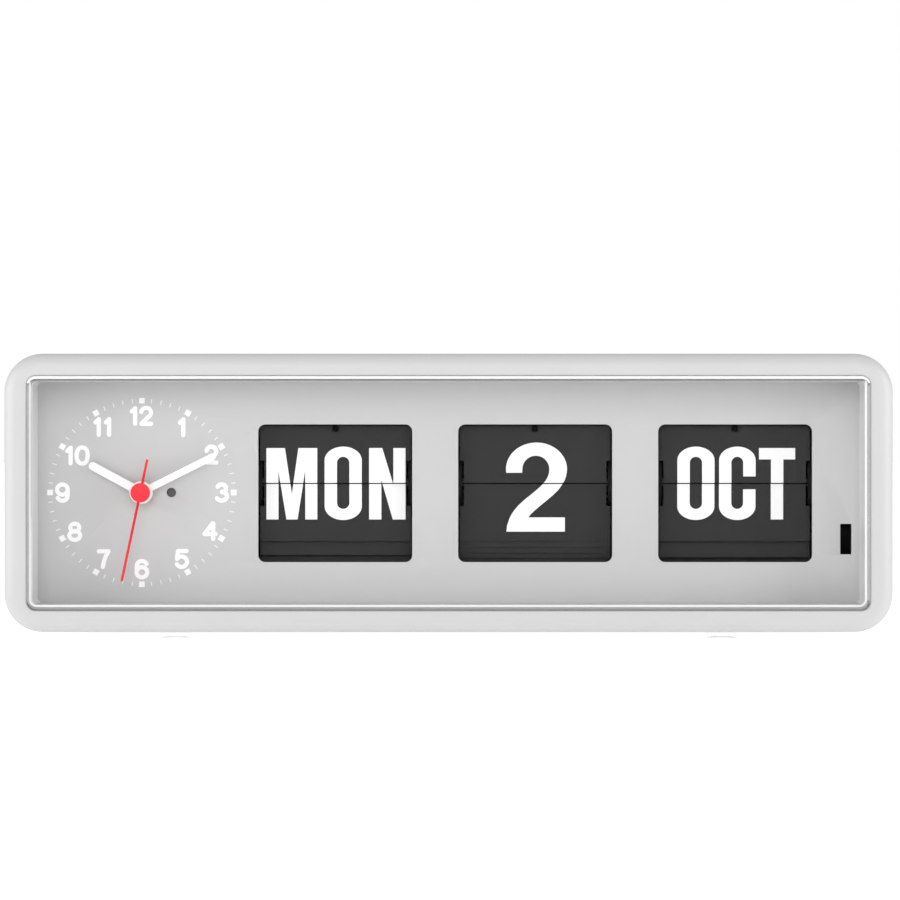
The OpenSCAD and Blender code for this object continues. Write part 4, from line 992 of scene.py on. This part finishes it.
# Setting knob
# A small black knob on the arbor of the minute wheel, turned with a dished face and ribbed all
# round, to set the hands from the rear.
knob_low, knob_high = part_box("setting_knob")
knob_radius, knob_rise = 6.9 * mm, 6 * mm
knob_bore, bore_depth = 1.02 * mm, 4.4 * mm
knob_foot, knob_top = 0.5 * mm, 0.6 * mm
knob_rim, knob_dish, knob_dish_depth = 5.3 * mm, 4.7 * mm, 0.5 * mm
knob_rib, knob_rib_count = (0.85 * mm, 1.1 * mm, 4.4 * mm), 24
knob_profile = [(0, bore_depth), (knob_bore, bore_depth), (knob_bore, 0),
                (knob_radius - knob_foot, 0), (knob_radius, knob_foot),
                (knob_radius, knob_rise - knob_top), (knob_radius - knob_top, knob_rise),
                (knob_rim, knob_rise), (knob_dish, knob_rise - knob_dish_depth),
                (0, knob_rise - knob_dish_depth)]
knob = bmesh.new()
turn(knob, knob_profile, (knob_at[0], knob_low.y, knob_at[1]), (0, 1, 0))
knob_black = finish("knob_black", (40, 40, 42), 0.48, 0.3, 0.01, 0.08)
fit(piece("hand_knob", knob), knob_black, "setting", "knob_plastic", "setting_knob")
on_knob = (Matrix.Translation((knob_at[0], (knob_low.y + knob_high.y) / 2, knob_at[1]))
           @ Matrix.Rotation(math.pi / 2, 4, "X"))
knob_ribs = blocks_round("hand_knob_ribs", knob_rib_count, knob_radius, knob_rib, on_knob)
fit(knob_ribs, knob_black, "setting", "knob_plastic")

# Thumbwheels
# Three knurled wheels in dark grey acetal that stand a little out of the slots of the cover, to
# step the weekday, date and month by hand.
thumb_grey = finish("thumb_grey", (74, 74, 76), 0.46, 0.3, 0.008, 0.06)
coat(thumb_grey, "weekday_thumbwheel", "date_thumbwheel", "month_thumbwheel")

# Studio
# A lit table that runs on to the horizon and an even white surround, with a large soft lamp at each
# side for the rounded sides of the case and one over the camera that reaches into the tunnel.
table_colour = (0.94, 0.94, 0.94, 1)
table_half = 20
table_glow, table_white = 0.37, 0.35
surround_light = 0.54
lamp_target = Vector((0, 0, 0.05))
camera_place = (0.56 * mm, -1546 * mm, 71.2 * mm)
camera_lens = 159.8


def lit(tree, everywhere, to_eye):
    """A strength for all rays, with more for those from the eye, also through clear plastic."""
    path = tree.nodes.new("ShaderNodeLightPath")
    either = tree.nodes.new("ShaderNodeMath")
    either.operation = "MAXIMUM"
    level = tree.nodes.new("ShaderNodeMath")
    level.operation = "MULTIPLY_ADD"
    level.inputs[1].default_value = to_eye
    level.inputs[2].default_value = everywhere
    tree.links.new(path.outputs["Is Camera Ray"], either.inputs[0])
    tree.links.new(path.outputs["Is Transmission Ray"], either.inputs[1])
    tree.links.new(either.outputs[0], level.inputs[0])
    return level.outputs[0]


def studio_floor():
    """Pale table that keeps the shadow and is white to the eye."""
    material = bpy.data.materials.new("studio_floor")
    material.use_nodes = True
    tree = material.node_tree
    shader = tree.nodes["Principled BSDF"]
    shader.inputs["Base Color"].default_value = table_colour
    shader.inputs["Roughness"].default_value = 1
    shader.inputs["Specular IOR Level"].default_value = 0
    shader.inputs["Emission Color"].default_value = (1, 1, 1, 1)
    tree.links.new(lit(tree, table_glow, table_white), shader.inputs["Emission Strength"])
    return material


floor_bm = bmesh.new()
bmesh.ops.create_grid(floor_bm, x_segments=1, y_segments=1, size=table_half)
floor = piece("floor", floor_bm)
floor.data.materials.append(studio_floor())

world = bpy.data.worlds.new("studio")
scene.world = world
world.use_nodes = True
surround = world.node_tree.nodes["Background"]
surround.inputs["Color"].default_value = (1, 1, 1, 1)
surround_level = lit(world.node_tree, surround_light, 1 - surround_light)
world.node_tree.links.new(surround_level, surround.inputs["Strength"])

for name, place, side, power in (("left_lamp", (-1.0, -0.35, 0.25), 0.7, 4.3),
                                 ("right_lamp", (1.0, -0.35, 0.25), 0.7, 4.3),
                                 ("front_lamp", (-0.15, -2.3, 0.9), 1.2, 13.0)):
    lamp = bpy.data.lights.new(name, "AREA")
    lamp.shape = "SQUARE"
    lamp.size = side
    lamp.energy = power
    box = bpy.data.objects.new(name, lamp)
    box.location = place
    aim = lamp_target - Vector(place)
    box.rotation_euler = aim.to_track_quat("-Z", "Y").to_euler()
    scene.collection.objects.link(box)

camera_data = bpy.data.cameras.new("camera")
camera_data.sensor_width = 36
camera_data.lens = camera_lens
camera_data.clip_end = 100
camera = bpy.data.objects.new("camera", camera_data)
camera.location = camera_place
camera.rotation_euler = (math.pi / 2, 0, 0)
scene.collection.objects.link(camera)
scene.camera = camera
scene.view_settings.view_transform = "Standard"
